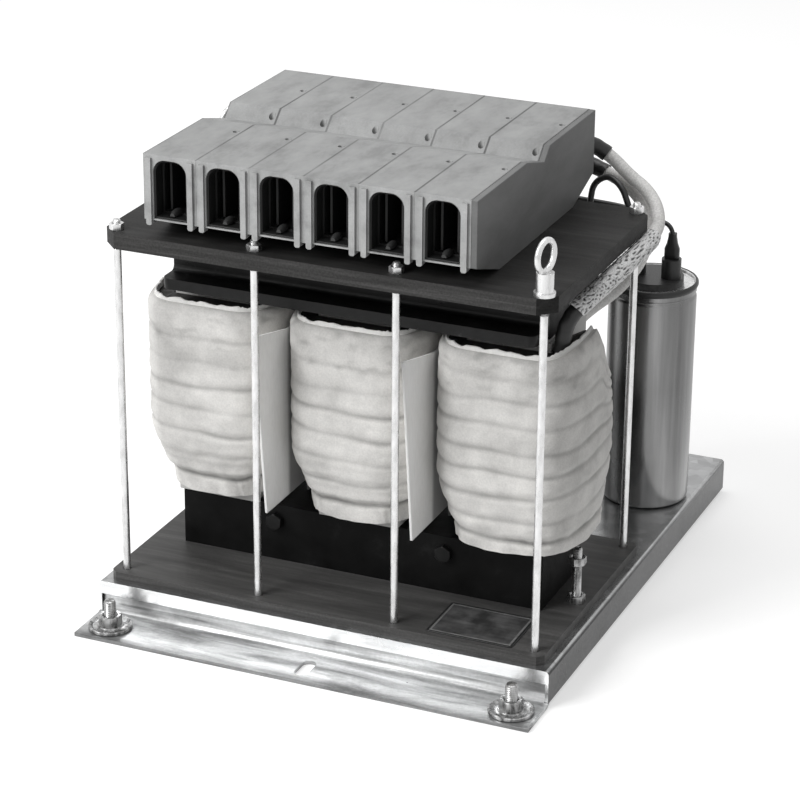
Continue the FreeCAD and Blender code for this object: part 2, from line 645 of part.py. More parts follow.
def make_clamp_angle(label, face, side):
    """A steel angle on the upper yoke, its lower leg standing out over the coils."""
    body = new_body(label)
    sketch = new_sketch(body, "YZ_Plane", -core_width / 2)
    back = face + clamp_sheet * side
    toe = face + clamp_leg * side
    add_outline(sketch, [
        (face, clamp_foot), (toe, clamp_foot), (toe, clamp_foot + clamp_sheet),
        (back, clamp_foot + clamp_sheet), (back, clamp_foot + clamp_height),
        (face, clamp_foot + clamp_height)])
    angle = pad(body, sketch, core_width)
    angle = fillet(body, angle, clamp_sheet / 2, along("x", (back, clamp_foot + clamp_sheet)))
    half = core_width / 2
    fillet(body, angle, clamp_corner, along("z", (-half, toe), (half, toe)))
    holes = new_sketch(body, "XZ_Plane", -face)
    for x, z in upper_bolts:
        add_circle(holes, x, z, yoke_bolt_size + hole_clearance * 2)
    pocket(body, holes, clamp_sheet, side < 0)


def add_bolts(body, places, front_face, rear_face):
    """Bolts along Y with hexagon heads at the front and plain ends behind."""
    heads = new_sketch(body, "XZ_Plane", -front_face)
    shanks = new_sketch(body, "XZ_Plane", -front_face)
    for x, z in places:
        add_hexagon(heads, x, z, yoke_head_flats)
        add_circle(shanks, x, z, yoke_bolt_size)
    pad(body, heads, yoke_head_height)
    reach = rear_face - front_face + yoke_head_height + rod_stub
    pad(body, shanks, reach, True)


def make_yoke_bolts():
    bolts = new_body("yoke_bolts")
    add_bolts(bolts, lower_bolts, core_front_y, core_rear_y)
    add_bolts(bolts, upper_bolts, core_front_y - clamp_sheet, core_rear_y + clamp_sheet)
    nuts = new_body("yoke_nuts")
    for places, face in ((lower_bolts, core_rear_y), (upper_bolts, core_rear_y + clamp_sheet)):
        sketch = new_sketch(nuts, "XZ_Plane", -face)
        for x, z in places:
            add_hexagon(sketch, x, z, yoke_head_flats)
            add_circle(sketch, x, z, yoke_bolt_size + thread_clearance * 2)
        pad(nuts, sketch, yoke_head_height, True)


# Coils, formers and phase separators
def rounded_outline(sketch, x, inset, corner):
    """The coil's plan outline, drawn in by inset, with arcs at its four corners."""
    half_x = coil_width / 2 - inset
    half_y = coil_depth / 2 - inset
    radius = corner - inset
    axis = FreeCAD.Vector(0, 0, 1)
    first = sketch.GeometryCount
    centres = []
    for x_side, y_side, start in ((1, 1, 0), (-1, 1, 90), (-1, -1, 180), (1, -1, 270)):
        centre_x = x + (half_x - radius) * x_side
        centre_y = rod_mid_y + (half_y - radius) * y_side
        centres.append((centre_x, centre_y, start))
        circle = Part.Circle(
            FreeCAD.Vector(centre_x.value, centre_y.value, 0), axis, radius.value)
        arc = Part.ArcOfCircle(circle, math.radians(start), math.radians(start + 90))
        sketch.addGeometry(arc, False)
    for number in range(4):
        here = sketch.Geometry[first + number].EndPoint
        there = sketch.Geometry[first + (number + 1) % 4].StartPoint
        sketch.addGeometry(Part.LineSegment(here, there), False)
    for number in range(4):
        line = first + 4 + number
        following = first + (number + 1) % 4
        sketch.addConstraint(Sketcher.Constraint("Tangent", first + number, 2, line, 1))
        sketch.addConstraint(Sketcher.Constraint("Tangent", line, 2, following, 1))
    for number, (centre_x, centre_y, start) in enumerate(centres):
        pin_point(sketch, first + number, 3, centre_x, centre_y)
    bind(sketch, Sketcher.Constraint("Radius", first, radius.value), radius.text)
    for number in (1, 2, 3):
        sketch.addConstraint(Sketcher.Constraint("Equal", first, first + number))


def make_coil(label, x):
    """A taped winding: tapered foot, straight body, rounded shoulder, paper collar."""
    body = new_body(label)
    levels = (
        (coil_foot, coil_taper_in),
        (coil_foot + coil_taper * 0.45, coil_taper_in * 0.4),
        (coil_foot + coil_taper, ZERO),
        (coil_top - coil_shoulder, ZERO),
        (coil_top, coil_shoulder_in))
    sections = []
    for level, inset in levels:
        sketch = new_sketch(body, "XY_Plane", level)
        rounded_outline(sketch, x, as_size(inset), coil_corner)
        sections.append(sketch)
    loft = body.newObject("PartDesign::AdditiveLoft", "Loft")
    loft.Profile = sections[0]
    loft.Sections = sections[1:]
    loft.Ruled = True
    doc.recompute()
    collar = new_sketch(body, "XY_Plane", coil_top)
    rounded_outline(collar, x, collar_inset, coil_corner)
    rounded_outline(collar, x, collar_inset + collar_wall, coil_corner)
    pad(body, collar, collar_height)
    bore = new_sketch(body, "XY_Plane", coil_foot)
    grow = former_clearance * 2 + former_wall
    half_x = limb_width / 2 + grow
    half_y = core_depth / 2 + grow
    add_rectangle(bore, x - half_x, rod_mid_y - half_y, x + half_x, rod_mid_y + half_y)
    pocket(body, bore, coil_height, True)


def make_former(label, x):
    """A pressboard tube between the limb and its winding."""
    body = new_body(label)
    sketch = new_sketch(body, "XY_Plane", lower_yoke_top)
    for grow in (former_clearance, former_clearance + former_wall):
        half_x = limb_width / 2 + grow
        half_y = core_depth / 2 + grow
        add_rectangle(sketch, x - half_x, rod_mid_y - half_y, x + half_x, rod_mid_y + half_y)
    pad(body, sketch, limb_height)


def make_separator(label, x):
    """A sheet between two coils that stands on the yoke and shows in front of them."""
    body = new_body(label)
    sketch = new_sketch(body, "YZ_Plane", x - barrier_sheet / 2)
    coil_front = rod_mid_y - coil_depth / 2
    coil_rear = rod_mid_y + coil_depth / 2
    foot = coil_foot + barrier_foot
    head = coil_top - barrier_head
    add_outline(sketch, [
        (coil_front - barrier_front_foot, foot), (rod_mid_y, foot),
        (rod_mid_y, lower_yoke_top), (core_rear_y, lower_yoke_top),
        (core_rear_y, foot), (coil_rear, foot),
        (coil_rear, head - barrier_drop), (core_front_y, head - barrier_drop),
        (coil_front - barrier_front_top, head)])
    pad(body, sketch, barrier_sheet)


# Terminal blocks
terminal_columns = [terminal_pitch * (number + 0.5) - terminal_start for number in range(6)]
front_key_y = terminal_front_y + key_hole_front
rear_key_y = terminal_rear_y - key_hole_rear
notch_key_y = terminal_front_y + notch_start + notch_slope + notch_return / 2


def block_outline(sketch):
    """Side view of a block: raised chins, flat foot, and the notch across the top."""
    chin = upper_board_top + chin_height
    notch_foot_y = terminal_front_y + notch_start + notch_slope
    add_outline(sketch, [
        (terminal_front_y, chin),
        (terminal_front_y + chin_depth, upper_board_top),
        (terminal_rear_y - chin_depth, upper_board_top),
        (terminal_rear_y, chin),
        (terminal_rear_y, terminal_top),
        (notch_foot_y + notch_return, terminal_top),
        (notch_foot_y, terminal_top - notch_depth),
        (terminal_front_y + notch_start, terminal_top),
        (terminal_front_y, terminal_top)])


def cut_cavity(body, x, face, depth, inwards):
    """One conductor cavity with rounded upper corners."""
    left = x - opening_width / 2
    right = x + opening_width / 2
    sketch = new_sketch(body, "XZ_Plane", -face)
    add_rectangle(sketch, left, opening_foot, right, opening_head)
    cut = pocket(body, sketch, depth, inwards < 0)
    return fillet(body, cut, opening_corner, along("y", (left, opening_head), (right, opening_head)))


def add_rim(body, x, face, outwards):
    """The raised rim: two ribs beside the opening that reach down past the chin."""
    outer = opening_width / 2 + rim_width
    inner = opening_width / 2 + rim_width * 0.2
    root = face - rim_root * outwards
    sketch = new_sketch(body, "XZ_Plane", -root)
    foot = opening_foot - rim_foot
    head = opening_head + rim_rise
    for side in (-1, 1):
        add_rectangle(sketch, x + inner * side, foot, x + outer * side, head)
    rim = pad(body, sketch, rim_root + rim_proud, outwards > 0)
    places = []
    for side in (-1, 1):
        places += [(x + outer * side, foot), (x + inner * side, foot)]
    return fillet(body, rim, rim_width * 0.3, along("y", *places))


def make_terminal(label, x):
    body = new_body(label)
    outline = new_sketch(body, "YZ_Plane", x - terminal_pitch / 2)
    block_outline(outline)
    pad(body, outline, terminal_pitch)
    cut_cavity(body, x, terminal_front_y, front_cavity, 1)
    cut_cavity(body, x, terminal_rear_y, rear_cavity, -1)
    recess = new_sketch(body, "YZ_Plane", x - terminal_pitch / 2)
    add_rectangle(recess, rod_rear_y - recess_width / 2, upper_board_top,
                  rod_rear_y + recess_width / 2, upper_board_top + recess_height)
    pocket(body, recess, terminal_pitch, True)
    channel = new_sketch(body, "XZ_Plane", -terminal_front_y)
    half = bar_width / 2 + lead_gap
    add_rectangle(channel, x - half, bar_foot - lead_gap, x + half, bar_foot + bar_sheet + lead_gap)
    pocket(body, channel, terminal_length)
    key_x = x + terminal_pitch / 2 - key_hole_edge
    keys = new_sketch(body, "XY_Plane", terminal_top)
    for y in (front_key_y, rear_key_y):
        add_circle(keys, key_x, y, key_hole_size)
    pocket(body, keys, key_hole_depth + spindle_length)
    notch_key = new_sketch(body, "XY_Plane", terminal_top)
    add_circle(notch_key, key_x, notch_key_y, key_hole_size)
    pocket(body, notch_key, key_hole_depth)
    add_rim(body, x, terminal_front_y, -1)
    add_rim(body, x, terminal_rear_y, 1)


def make_end_plate():
    body = new_body("terminal_end_plate")
    outline = new_sketch(body, "YZ_Plane", terminal_end_x)
    block_outline(outline)
    pad(body, outline, end_plate_sheet)


def make_contacts():
    """Current bars, the spring cages round their ends and the spindles that open them."""
    bars = new_body("current_bars")
    sketch = new_sketch(bars, "XY_Plane", bar_foot)
    for x in terminal_columns:
        add_rectangle(sketch, x - bar_width / 2, terminal_front_y + bar_inset,
                      x + bar_width / 2, terminal_rear_y - bar_inset / 2)
    pad(bars, sketch, bar_sheet)
    cages = new_body("clamp_cages")
    cage_head = bar_foot + bar_sheet + lead_gap + cage_sheet
    cage_mids = (front_key_y, terminal_rear_y - bar_inset / 2 - cage_depth)
    for middle in cage_mids:
        ring = new_sketch(cages, "XZ_Plane", -(middle - cage_depth / 2))
        for x in terminal_columns:
            half = cage_width / 2
            valley = opening_foot + cage_sheet
            add_outline(ring, [
                (x - half, valley), (x, opening_foot), (x + half, valley),
                (x + half, cage_head), (x - half, cage_head)])
            inner = half - cage_sheet
            add_outline(ring, [
                (x - inner, valley + cage_sheet), (x, valley), (x + inner, valley + cage_sheet),
                (x + inner, cage_head - cage_sheet), (x - inner, cage_head - cage_sheet)])
        pad(cages, ring, cage_depth, True)
    spindle_top = terminal_top - key_hole_depth
    places = []
    for x in terminal_columns:
        key_x = x + terminal_pitch / 2 - key_hole_edge
        places += [(key_x, front_key_y), (key_x, rear_key_y)]
    rods("clamp_spindles", places, spindle_size, spindle_top - spindle_length, spindle_length)


# Capacitors
def make_capacitor(side, x):
    """An aluminium can with a rolled rim and a stud, and its insulating lid with blades."""
    body = new_body("capacitor_" + side)
    radius = can_size / 2
    rim_top = deck_top + can_height
    lid_z = rim_top - can_dish
    stud = can_stud_size / 2
    profile = new_sketch(body, "XZ_Plane")
    add_outline(profile, [
        (ZERO, deck_top - can_stud_length), (stud, deck_top - can_stud_length),
        (stud, deck_top), (radius - can_foot, deck_top), (radius - can_foot * 0.3, deck_top + can_foot * 0.3),
        (radius, deck_top + can_foot), (radius, rim_top - can_bead_height),
        (radius + can_bead, rim_top - can_bead_height * 0.7), (radius + can_bead, rim_top - can_bead),
        (radius, rim_top), (radius - can_wall, rim_top), (radius - can_wall * 2, lid_z), (ZERO, lid_z)])
    revolve(body, profile)
    body.setExpression("Placement.Base.x", x.text)
    body.setExpression("Placement.Base.y", can_row.text)
    lid = new_body("capacitor_lid_" + side)
    disc = new_sketch(lid, "XY_Plane", lid_z)
    add_circle(disc, x, can_row, lid_size)
    pad(lid, disc, lid_height)
    posts = new_sketch(lid, "XY_Plane", lid_z + lid_height)
    blades = new_sketch(lid, "XY_Plane", lid_z + lid_height + post_height)
    for reach in (-post_pitch / 2, post_pitch / 2):
        add_circle(posts, x + reach, can_row, post_size)
        add_rectangle(blades, x + reach - tab_width / 2, can_row - tab_sheet / 2,
                      x + reach + tab_width / 2, can_row + tab_sheet / 2)
    pad(lid, posts, post_height)
    pad(lid, blades, tab_height)


def make_capacitor_nuts():
    nuts = new_body("capacitor_nuts")
    places = [(x, can_row) for x in can_columns.values()]
    add_nuts(nuts, places, can_nut_flats, can_stud_size, rail_height - can_nut_height, can_nut_height)


# Earth stud and rating plate
def make_earth_stud():
    place = [(rod_columns[3], rod_front_y + earth_row)]
    rods("earth_stud", place, earth_size, lower_board_top, earth_height)
    nuts = new_body("earth_nuts")
    for rise in (ZERO, earth_nut_rise):
        add_nuts(nuts, place, earth_nut_flats, earth_size, lower_board_top + rise, earth_nut_height)


def make_rating_plate():
    body = new_body("rating_plate")
    sketch = new_sketch(body, "XY_Plane", lower_board_top)
    right = board_half - plate_edge
    front = board_front_y + plate_front
    add_rectangle(sketch, right - plate_width, front, right, front + plate_depth)
    pad(body, sketch, plate_sheet)


# Leads: straight runs joined by tangent arcs
def bend_radius(points, number):
    """The largest arc that two runs allow: 0.45 of the shorter over tan(half the turn)."""
    before = points[number] - points[number - 1]
    after = points[number + 1] - points[number]
    turn = before.getAngle(after)
    return 0.45 * min(before.Length, after.Length) / math.tan(turn / 2)


def route_wire(points):
    edges = []
    start = points[0]
    for number in range(1, len(points) - 1):
        corner = points[number]
        incoming = (corner - points[number - 1]).normalize()
        outgoing = (points[number + 1] - corner).normalize()
        radius = bend_radius(points, number)
        half_turn = incoming.getAngle(outgoing) / 2
        setback = radius * math.tan(half_turn)
        arc_start = corner - incoming * setback
        arc_end = corner + outgoing * setback
        bisector = (outgoing - incoming).normalize()
        centre = corner + bisector * (radius / math.cos(half_turn))
        arc_middle = centre - bisector * radius
        edges.append(Part.LineSegment(start, arc_start).toShape())
        edges.append(Part.Arc(arc_start, arc_middle, arc_end).toShape())
        start = arc_end
    edges.append(Part.LineSegment(start, points[-1]).toShape())
    return Part.Wire(edges)


def make_tube(label, route, outer, inner=None, covered=None):
    """A round lead along a route of points given as sizes, or a sleeve over some of its edges."""
    points = [FreeCAD.Vector(*[as_size(value).value for value in point]) for point in route]
    wire = route_wire(points)
    if covered is not None:
        wire = Part.Wire(wire.OrderedEdges[covered])
    first = wire.OrderedEdges[0]
    start = first.valueAt(first.FirstParameter)
    direction = first.tangentAt(first.FirstParameter)
    solids = []
    for diameter in (outer, inner):
        if diameter is None:
            continue
        ring = Part.Wire(Part.Circle(start, direction, diameter.value / 2).toShape())
        solids.append(wire.makePipeShell([ring], True, True))
    shape = solids[0]
    section = math.pi * outer.value ** 2 / 4
    if inner is not None:
        shape = solids[0].cut(solids[1])
        section -= math.pi * inner.value ** 2 / 4
    feature = doc.addObject("Part::Feature", label)
    feature.Label = label
    feature.Shape = shape
    radii = [bend_radius(points, number) for number in range(1, len(points) - 1)]
    print(label, "length %.1f" % wire.Length, "radii", ["%.1f" % radius for radius in radii],
          "volume ratio %.5f" % (shape.Volume / (section * wire.Length)))
    return feature


rear_contact_y = terminal_rear_y - bar_inset / 2
lead_end_y = rear_contact_y - cage_depth / 2
lead_z = bar_foot - lead_gap - lead_size / 2
coil_rear_y = rod_mid_y + coil_depth / 2
lead_back_y = terminal_rear_y + lead_back
coil_exit_z = coil_top - lead_drop


def make_coil_leads():
    """Four leads from the backs of the coils up and over into the rear of the blocks."""
    starts = [
        -limb_pitch - lead_spread, lead_spread - limb_pitch, -lead_spread, lead_spread]
    for number, start_x in enumerate(starts):
        end_x = terminal_columns[number] - lead_shift
        make_tube("lead_%d" % (number + 1), [
            (start_x, coil_rear_y, coil_exit_z),
            (start_x, lead_back_y, coil_exit_z),
            (end_x, lead_back_y + 4, lead_z),
            (end_x, lead_end_y, lead_z)], lead_size)


def make_corner_leads():
    """The right coil's two leads, which pass behind the board's rear corner."""
    x = board_half + 2
    corner_x = terminal_columns[4] - lead_shift
    make_tube("lead_5", [
        (limb_pitch + lead_spread, coil_rear_y, coil_exit_z + 2),
        (limb_pitch + lead_spread, coil_rear_y + 20, coil_exit_z + 2),
        (x - 24, board_rear_y + 5, coil_exit_z + 10),
        (x - 10, board_rear_y + 11, coil_exit_z + 32),
        (x - 11, board_rear_y + 22, upper_board_foot - 6),
        (x - 21, board_rear_y + 35, upper_board_foot + 4),
        (x - 36, board_rear_y + 45, upper_board_foot + 10),
        (x - 53, board_rear_y + 51, upper_board_foot + 14),
        (x - 76, board_rear_y + 51, upper_board_foot + 22),
        (corner_x + 12, board_rear_y + 44, lead_z - 10),
        (corner_x, terminal_rear_y + 4, lead_z - 3),
        (corner_x, lead_end_y, lead_z)], lead_size)
    sleeve_z = upper_board_foot - lead_size / 2 - sleeve_wall - lead_gap * 4
    end_x = terminal_columns[5] + lead_shift
    coil_x = limb_pitch + coil_width / 2 - collar_inset * 2 - 1
    coil_y = core_front_y + 1.5
    route = [
        (coil_x, coil_y, coil_top),
        (coil_x, coil_y, coil_top + 11),
        (coil_x + 3, coil_y + 4, coil_top + 21),
        (x - 8, coil_y + 12, sleeve_z - 8),
        (x, coil_y + 38, sleeve_z),
        (x, board_rear_y + 5, sleeve_z),
        (x - 4, board_rear_y + 18, sleeve_z + 11),
        (x - 15, board_rear_y + 28, sleeve_z + 20),
        (x - 30, board_rear_y + 36, sleeve_z + 25),
        (x - 45, board_rear_y + 43, sleeve_z + 34),
        (end_x + 9, board_rear_y + 38, lead_z - 6),
        (end_x, terminal_rear_y + 2, lead_z - 4),
        (end_x, lead_end_y, lead_z)]
    make_tube("lead_6", route, lead_size)
    bore = lead_size + lead_gap * 2
    make_tube("braided_sleeve", route, bore + sleeve_wall * 2, bore, slice(4, 9))


wire_exit_z = coil_exit_z - wire_drop
blade_top = deck_top + can_height - can_dish + lid_height + post_height + tab_height


def make_capacitor_wires():
    """A wire from each can that loops up and down again to the back of its coil."""
    for side, post_side, coil_shift, reach in (("left", 1, -1, 14), ("middle", -1, -6, 7)):
        post_x = can_columns[side] + post_pitch / 2 * post_side
        coil_x = limb_columns[side] + coil_shift
        near_x = coil_x + reach
        far_x = near_x - wire_loop
        loop_y = can_row - 51
        make_tube("capacitor_wire_" + side, [
            (post_x, can_row, blade_top),
            (post_x, can_row, blade_top + 18),
            (near_x, can_row - 26, blade_top + 38),
            (near_x, loop_y, blade_top + 42),
            (near_x, loop_y, blade_top + 60),
            (near_x - wire_loop / 2, loop_y, blade_top + 66),
            (far_x, loop_y, blade_top + 60),
            (far_x, loop_y - 5, blade_top + 40),
            (coil_x, terminal_rear_y - 8, blade_top + 18),
            (coil_x, coil_rear_y + 24, wire_exit_z),
            (coil_x, coil_rear_y, wire_exit_z)], wire_size)
    post_x = can_columns["right"] - post_pitch / 2
    coil_x = limb_columns["right"] - 1
    board_z = upper_board_foot
    make_tube("capacitor_wire_right", [
        (post_x, can_row, blade_top),
        (post_x, can_row, blade_top + 14),
        (post_x + 10, can_row - 14, blade_top + 25),
        (post_x + 19, can_row - 38, blade_top + 27),
        (post_x + 20, board_rear_y + 26, board_z - 15),
        (post_x + 19, board_rear_y + 17, board_z),
        (post_x + 11, board_rear_y + 22, board_z + 15),
        (post_x - 1, board_rear_y + 29, board_z + 19),
        (post_x - 11, board_rear_y + 30, board_z + 12),
        (coil_x - 2, board_rear_y + 27, board_z - 2),
        (coil_x, board_rear_y + 18, board_z - 26),
        (coil_x, coil_rear_y + 24, wire_exit_z),
        (coil_x, coil_rear_y, wire_exit_z)], wire_size)


def make_jumpers():
    """Two jumper wires that join the cans behind the blades."""
    jumpers = []
    beside = post_pitch / 2
    step = jumper_size * 0.6
    spans = (
        ("left", can_columns["left"] - beside, can_columns["middle"] + beside - step),
        ("right", can_columns["middle"] + beside + step, can_columns["right"] + beside))
    for name, first_x, last_x in spans:
        jumpers.append(make_tube("jumper_" + name, [
            (first_x, can_row, blade_top),
            (first_x, can_row, blade_top + 15),
            (first_x + 28, can_row + 9, blade_top + 22),
            (last_x - 32, can_row + 11, blade_top + 19),
            (last_x, can_row, blade_top + 14),
            (last_x, can_row, blade_top)], jumper_size))
    group = doc.addObject("Part::Compound", "capacitor_jumpers")
    group.Label = "capacitor_jumpers"
    group.Links = jumpers


make_base_tray()
make_foot_rail("foot_rail_front", -1)
make_foot_rail("foot_rail_rear", 1)
make_foot_hardware()
make_board("lower_board", deck_top, lower_board_sheet, lower_corner)
make_board("upper_board", upper_board_foot, upper_board_sheet, upper_corner)
make_tie_rods()
make_eye_nut("eye_nut_front", eye_places["front"], 80)
make_eye_nut("eye_nut_rear", eye_places["rear"], 60)
make_core()
make_clamp_angle("clamp_angle_front", core_front_y, -1)
make_clamp_angle("clamp_angle_rear", core_rear_y, 1)
make_yoke_bolts()
for side, x in limb_columns.items():
    make_coil("coil_" + side, x)
    make_former("former_" + side, x)
make_separator("separator_left", -limb_pitch / 2)
make_separator("separator_right", limb_pitch / 2)
for number, x in enumerate(terminal_columns):
    make_terminal("terminal_%d" % (number + 1), x)
make_end_plate()
make_contacts()
for side, x in can_columns.items():
    make_capacitor(side, x)
make_capacitor_nuts()
make_earth_stud()
make_rating_plate()
make_coil_leads()
make_corner_leads()
make_capacitor_wires()
make_jumpers()
doc.recompute()

# Every object has to be sound before anything is written
for item in doc.Objects:
    if "Invalid" in item.State or "Error" in item.State:
        raise RuntimeError("%s (%s) failed: %s" % (item.Name, item.Label, item.State))

pieces = [item for item in doc.Objects if item.TypeId == "PartDesign::Body"]
pieces += [item for item in doc.Objects if item.TypeId == "Part::Cut"]
pieces += [item for item in doc.Objects if item.TypeId == "Part::Compound"]
grouped = [link for item in doc.Objects if item.TypeId == "Part::Compound" for link in item.Links]
pieces += [item for item in doc.Objects if item.TypeId == "Part::Feature" and item not in grouped]
for item in pieces:
    if item.Shape.isNull() or not item.Shape.isValid():
        raise RuntimeError("%s has no valid shape" % item.Label)

os.makedirs("parts", exist_ok=True)
for item in pieces:
    item.Shape.exportStep("parts/%s.step" % item.Label)
    print(item.Label, len(item.Shape.Solids), "solids, %.1f cm3" % (item.Shape.Volume / 1000))
print(len(pieces), "nodes")
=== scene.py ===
import math

import bpy
import numpy as np
from mathutils import Matrix, Vector, noise


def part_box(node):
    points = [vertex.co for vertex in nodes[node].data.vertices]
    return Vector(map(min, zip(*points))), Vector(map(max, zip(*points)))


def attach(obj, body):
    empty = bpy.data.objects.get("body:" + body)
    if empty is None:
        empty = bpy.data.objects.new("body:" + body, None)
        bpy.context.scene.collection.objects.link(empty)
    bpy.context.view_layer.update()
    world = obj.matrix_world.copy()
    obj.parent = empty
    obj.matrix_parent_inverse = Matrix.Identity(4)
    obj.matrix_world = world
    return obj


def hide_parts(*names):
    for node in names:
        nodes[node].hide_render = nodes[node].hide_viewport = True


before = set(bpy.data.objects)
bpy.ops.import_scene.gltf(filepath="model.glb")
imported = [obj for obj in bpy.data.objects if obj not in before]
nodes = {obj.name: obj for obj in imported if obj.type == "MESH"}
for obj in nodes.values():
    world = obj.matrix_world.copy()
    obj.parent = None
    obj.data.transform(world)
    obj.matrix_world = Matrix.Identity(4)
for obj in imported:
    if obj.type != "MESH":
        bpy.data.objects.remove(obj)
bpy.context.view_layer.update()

MM = 0.001
X, Y, Z = range(3)
SIDES = ("left", "middle", "right")
NUMBERS = range(1, 7)


# Shader nodes
def feed(socket, value):
    """Link a socket to another one, or give it a constant."""
    if isinstance(value, bpy.types.NodeSocket):
        socket.id_data.links.new(value, socket)
    else:
        socket.default_value = value


def maths(tree, operation, *inputs, clamped=False):
    """The result of a math node."""
    node = tree.nodes.new("ShaderNodeMath")
    node.operation = operation
    node.use_clamp = clamped
    for socket, value in zip(node.inputs, inputs):
        feed(socket, value)
    return node.outputs[0]


materials = {}


class Finish:
    """A procedural material: textures in the object's own coordinates drive one shader."""

    def __init__(self, name, metallic=0.0, specular=0.5):
        material = bpy.data.materials.new(name)
        material.use_nodes = True
        materials[name] = material
        self.tree = material.node_tree
        self.shader = self.tree.nodes["Principled BSDF"]
        self.set("Metallic", metallic)
        self.set("Specular IOR Level", specular)
        self.place = self.add("ShaderNodeTexCoord").outputs["Object"]
        self.relief = None

    def set(self, name, value):
        feed(self.shader.inputs[name], value)

    def add(self, kind, inputs=None, **settings):
        node = self.tree.nodes.new(kind)
        for name, value in settings.items():
            setattr(node, name, value)
        for name, value in (inputs or {}).items():
            feed(node.inputs[name], value)
        return node

    def noise(self, scale, detail, roughness, stretch=(1, 1, 1), distortion=0.0):
        stretched = self.add("ShaderNodeMapping", {"Vector": self.place, "Scale": stretch})
        return self.add("ShaderNodeTexNoise", {
            "Vector": stretched.outputs["Vector"], "Scale": scale, "Detail": detail,
            "Roughness": roughness, "Distortion": distortion}).outputs["Fac"]

    def cells(self, scale, output):
        return self.add("ShaderNodeTexVoronoi", {"Vector": self.place, "Scale": scale}).outputs[output]

    def waves(self, scale, direction, distortion):
        return self.add("ShaderNodeTexWave", {"Vector": self.place, "Scale": scale, "Distortion": distortion},
                        bands_direction=direction).outputs["Fac"]

    def attribute(self, name):
        return self.add("ShaderNodeAttribute", attribute_name=name).outputs["Fac"]

    def levels(self, factor, *stops):
        """Turn a factor into a grey level, by stops of (position, level)."""
        node = self.add("ShaderNodeValToRGB", {"Fac": factor})
        marks = node.color_ramp.elements
        while len(marks) < len(stops):
            marks.new(0.5)
        for mark, (position, level) in zip(marks, stops):
            mark.position = position
            mark.color = (level, level, level, 1.0)
        return node.outputs["Color"]

    def spread(self, factor, low, high):
        """Levels over the range in which a noise mostly stays."""
        return self.levels(factor, (0.3, low), (0.7, high))

    def blend(self, first, second, amount, kind="MIX"):
        node = self.add("ShaderNodeMix", {"Factor": amount}, data_type="RGBA", blend_type=kind)
        for socket, value in ((node.inputs[6], first), (node.inputs[7], second)):
            if isinstance(value, (int, float)):
                value = (value, value, value, 1.0)
            feed(socket, value)
        return node.outputs[2]

    def multiply(self, base, other, amount=1.0):
        return self.blend(base, other, amount, "MULTIPLY")

    def facing(self, axis, *stops):
        """Levels of how far the surface faces along an axis, either way, in the object's own frame."""
        normal = self.add("ShaderNodeTexCoord").outputs["Normal"]
        part = self.add("ShaderNodeSeparateXYZ", {"Vector": normal}).outputs[axis]
        return self.levels(maths(self.tree, "ABSOLUTE", part), *stops)

    def reach(self, axis, start, end, clamped=True):
        """How far along an axis a point is, from 0 at start to 1 at end, both in millimetres."""
        part = self.add("ShaderNodeSeparateXYZ", {"Vector": self.place}).outputs[axis]
        span = end - start
        return maths(self.tree, "MULTIPLY_ADD", part, 1 / (span * MM), -start / span, clamped=clamped)

    def height(self, factor, distance, strength):
        """Add relief of a depth given in millimetres."""
        inputs = {"Distance": distance * MM, "Strength": strength, "Height": factor}
        if self.relief is not None:
            inputs["Normal"] = self.relief
        self.relief = self.add("ShaderNodeBump", inputs).outputs["Normal"]
        self.set("Normal", self.relief)

    def colour(self, value, shade=None):
        """Set the colour, slightly tinted where a shade is given."""
        self.set("Base Color", self.multiply(value, (*shade, 1.0)) if shade else value)

    def roughness(self, factor, low, high):
        self.set("Roughness", self.spread(factor, low, high))


# Materials
STEEL_SHADE = (0.985, 0.995, 1.0)


def make_galvanised():
    """Hazy on the deck; streaked on the front lip and lightened there as a painted highlight; flecked on the
    sides and darkened there as painted shade.
    """
    finish = Finish("galvanised", metallic=0.85)
    flecks = finish.noise(420, 4, 0.7)
    streaks = finish.noise(14, 4, 0.6, (1, 9, 9))
    haze = finish.noise(16, 4, 0.6)
    base = finish.levels(finish.cells(130, "Color"), (0.0, 0.31), (1.0, 0.50))
    base = finish.multiply(base, finish.levels(haze, (0.35, 0.74), (0.65, 1.04)), 0.8)
    # Painted highlight: faces along Y, the front lip among them, take a much lighter streaked grey
    front = finish.facing(Y, (0.6, 0.0), (0.9, 1.0))
    base = finish.blend(base, finish.levels(streaks, (0.35, 0.78), (0.60, 0.92)), front)
    # Painted shade: faces along X, the sides, take a much darker flecked grey
    side = finish.facing(X, (0.6, 0.0), (0.9, 1.0))
    base = finish.blend(base, finish.levels(flecks, (0.38, 0.036), (0.56, 0.058), (0.70, 0.105)), side)
    finish.colour(base, STEEL_SHADE)
    finish.roughness(haze, 0.15, 0.30)
    finish.height(flecks, 0.06, 0.25)
    finish.height(haze, 0.3, 0.15)


def make_rail():
    """Streaked and grimy, with a painted dark reflection along its front edge."""
    finish = Finish("rail", metallic=0.75)
    streaks = finish.noise(11, 6, 0.66, (1, 6, 22), 0.6)
    grime_and_shade = finish.noise(24, 5, 0.65, (0.5, 1, 1))
    flecks = finish.noise(380, 4, 0.7)
    base = finish.levels(streaks, (0.32, 0.24), (0.46, 0.45), (0.66, 0.74))
    # Painted dark reflection along the flange's front edge; its strength follows the same noise as the grime
    edge = finish.levels(finish.reach(Y, -206, -190), (0.15, 0.40), (0.60, 1.0))
    base = finish.multiply(base, edge, finish.levels(grime_and_shade, (0.30, 1.0), (0.70, 0.55)))
    base = finish.multiply(base, finish.levels(grime_and_shade, (0.32, 0.50), (0.46, 1.0)), 0.85)
    base = finish.multiply(base, finish.levels(flecks, (0.35, 0.82), (0.65, 1.05)), 0.7)
    finish.colour(base, STEEL_SHADE)
    finish.roughness(grime_and_shade, 0.44, 0.26)
    finish.height(flecks, 0.08, 0.35)
    finish.height(streaks, 0.5, 0.3)


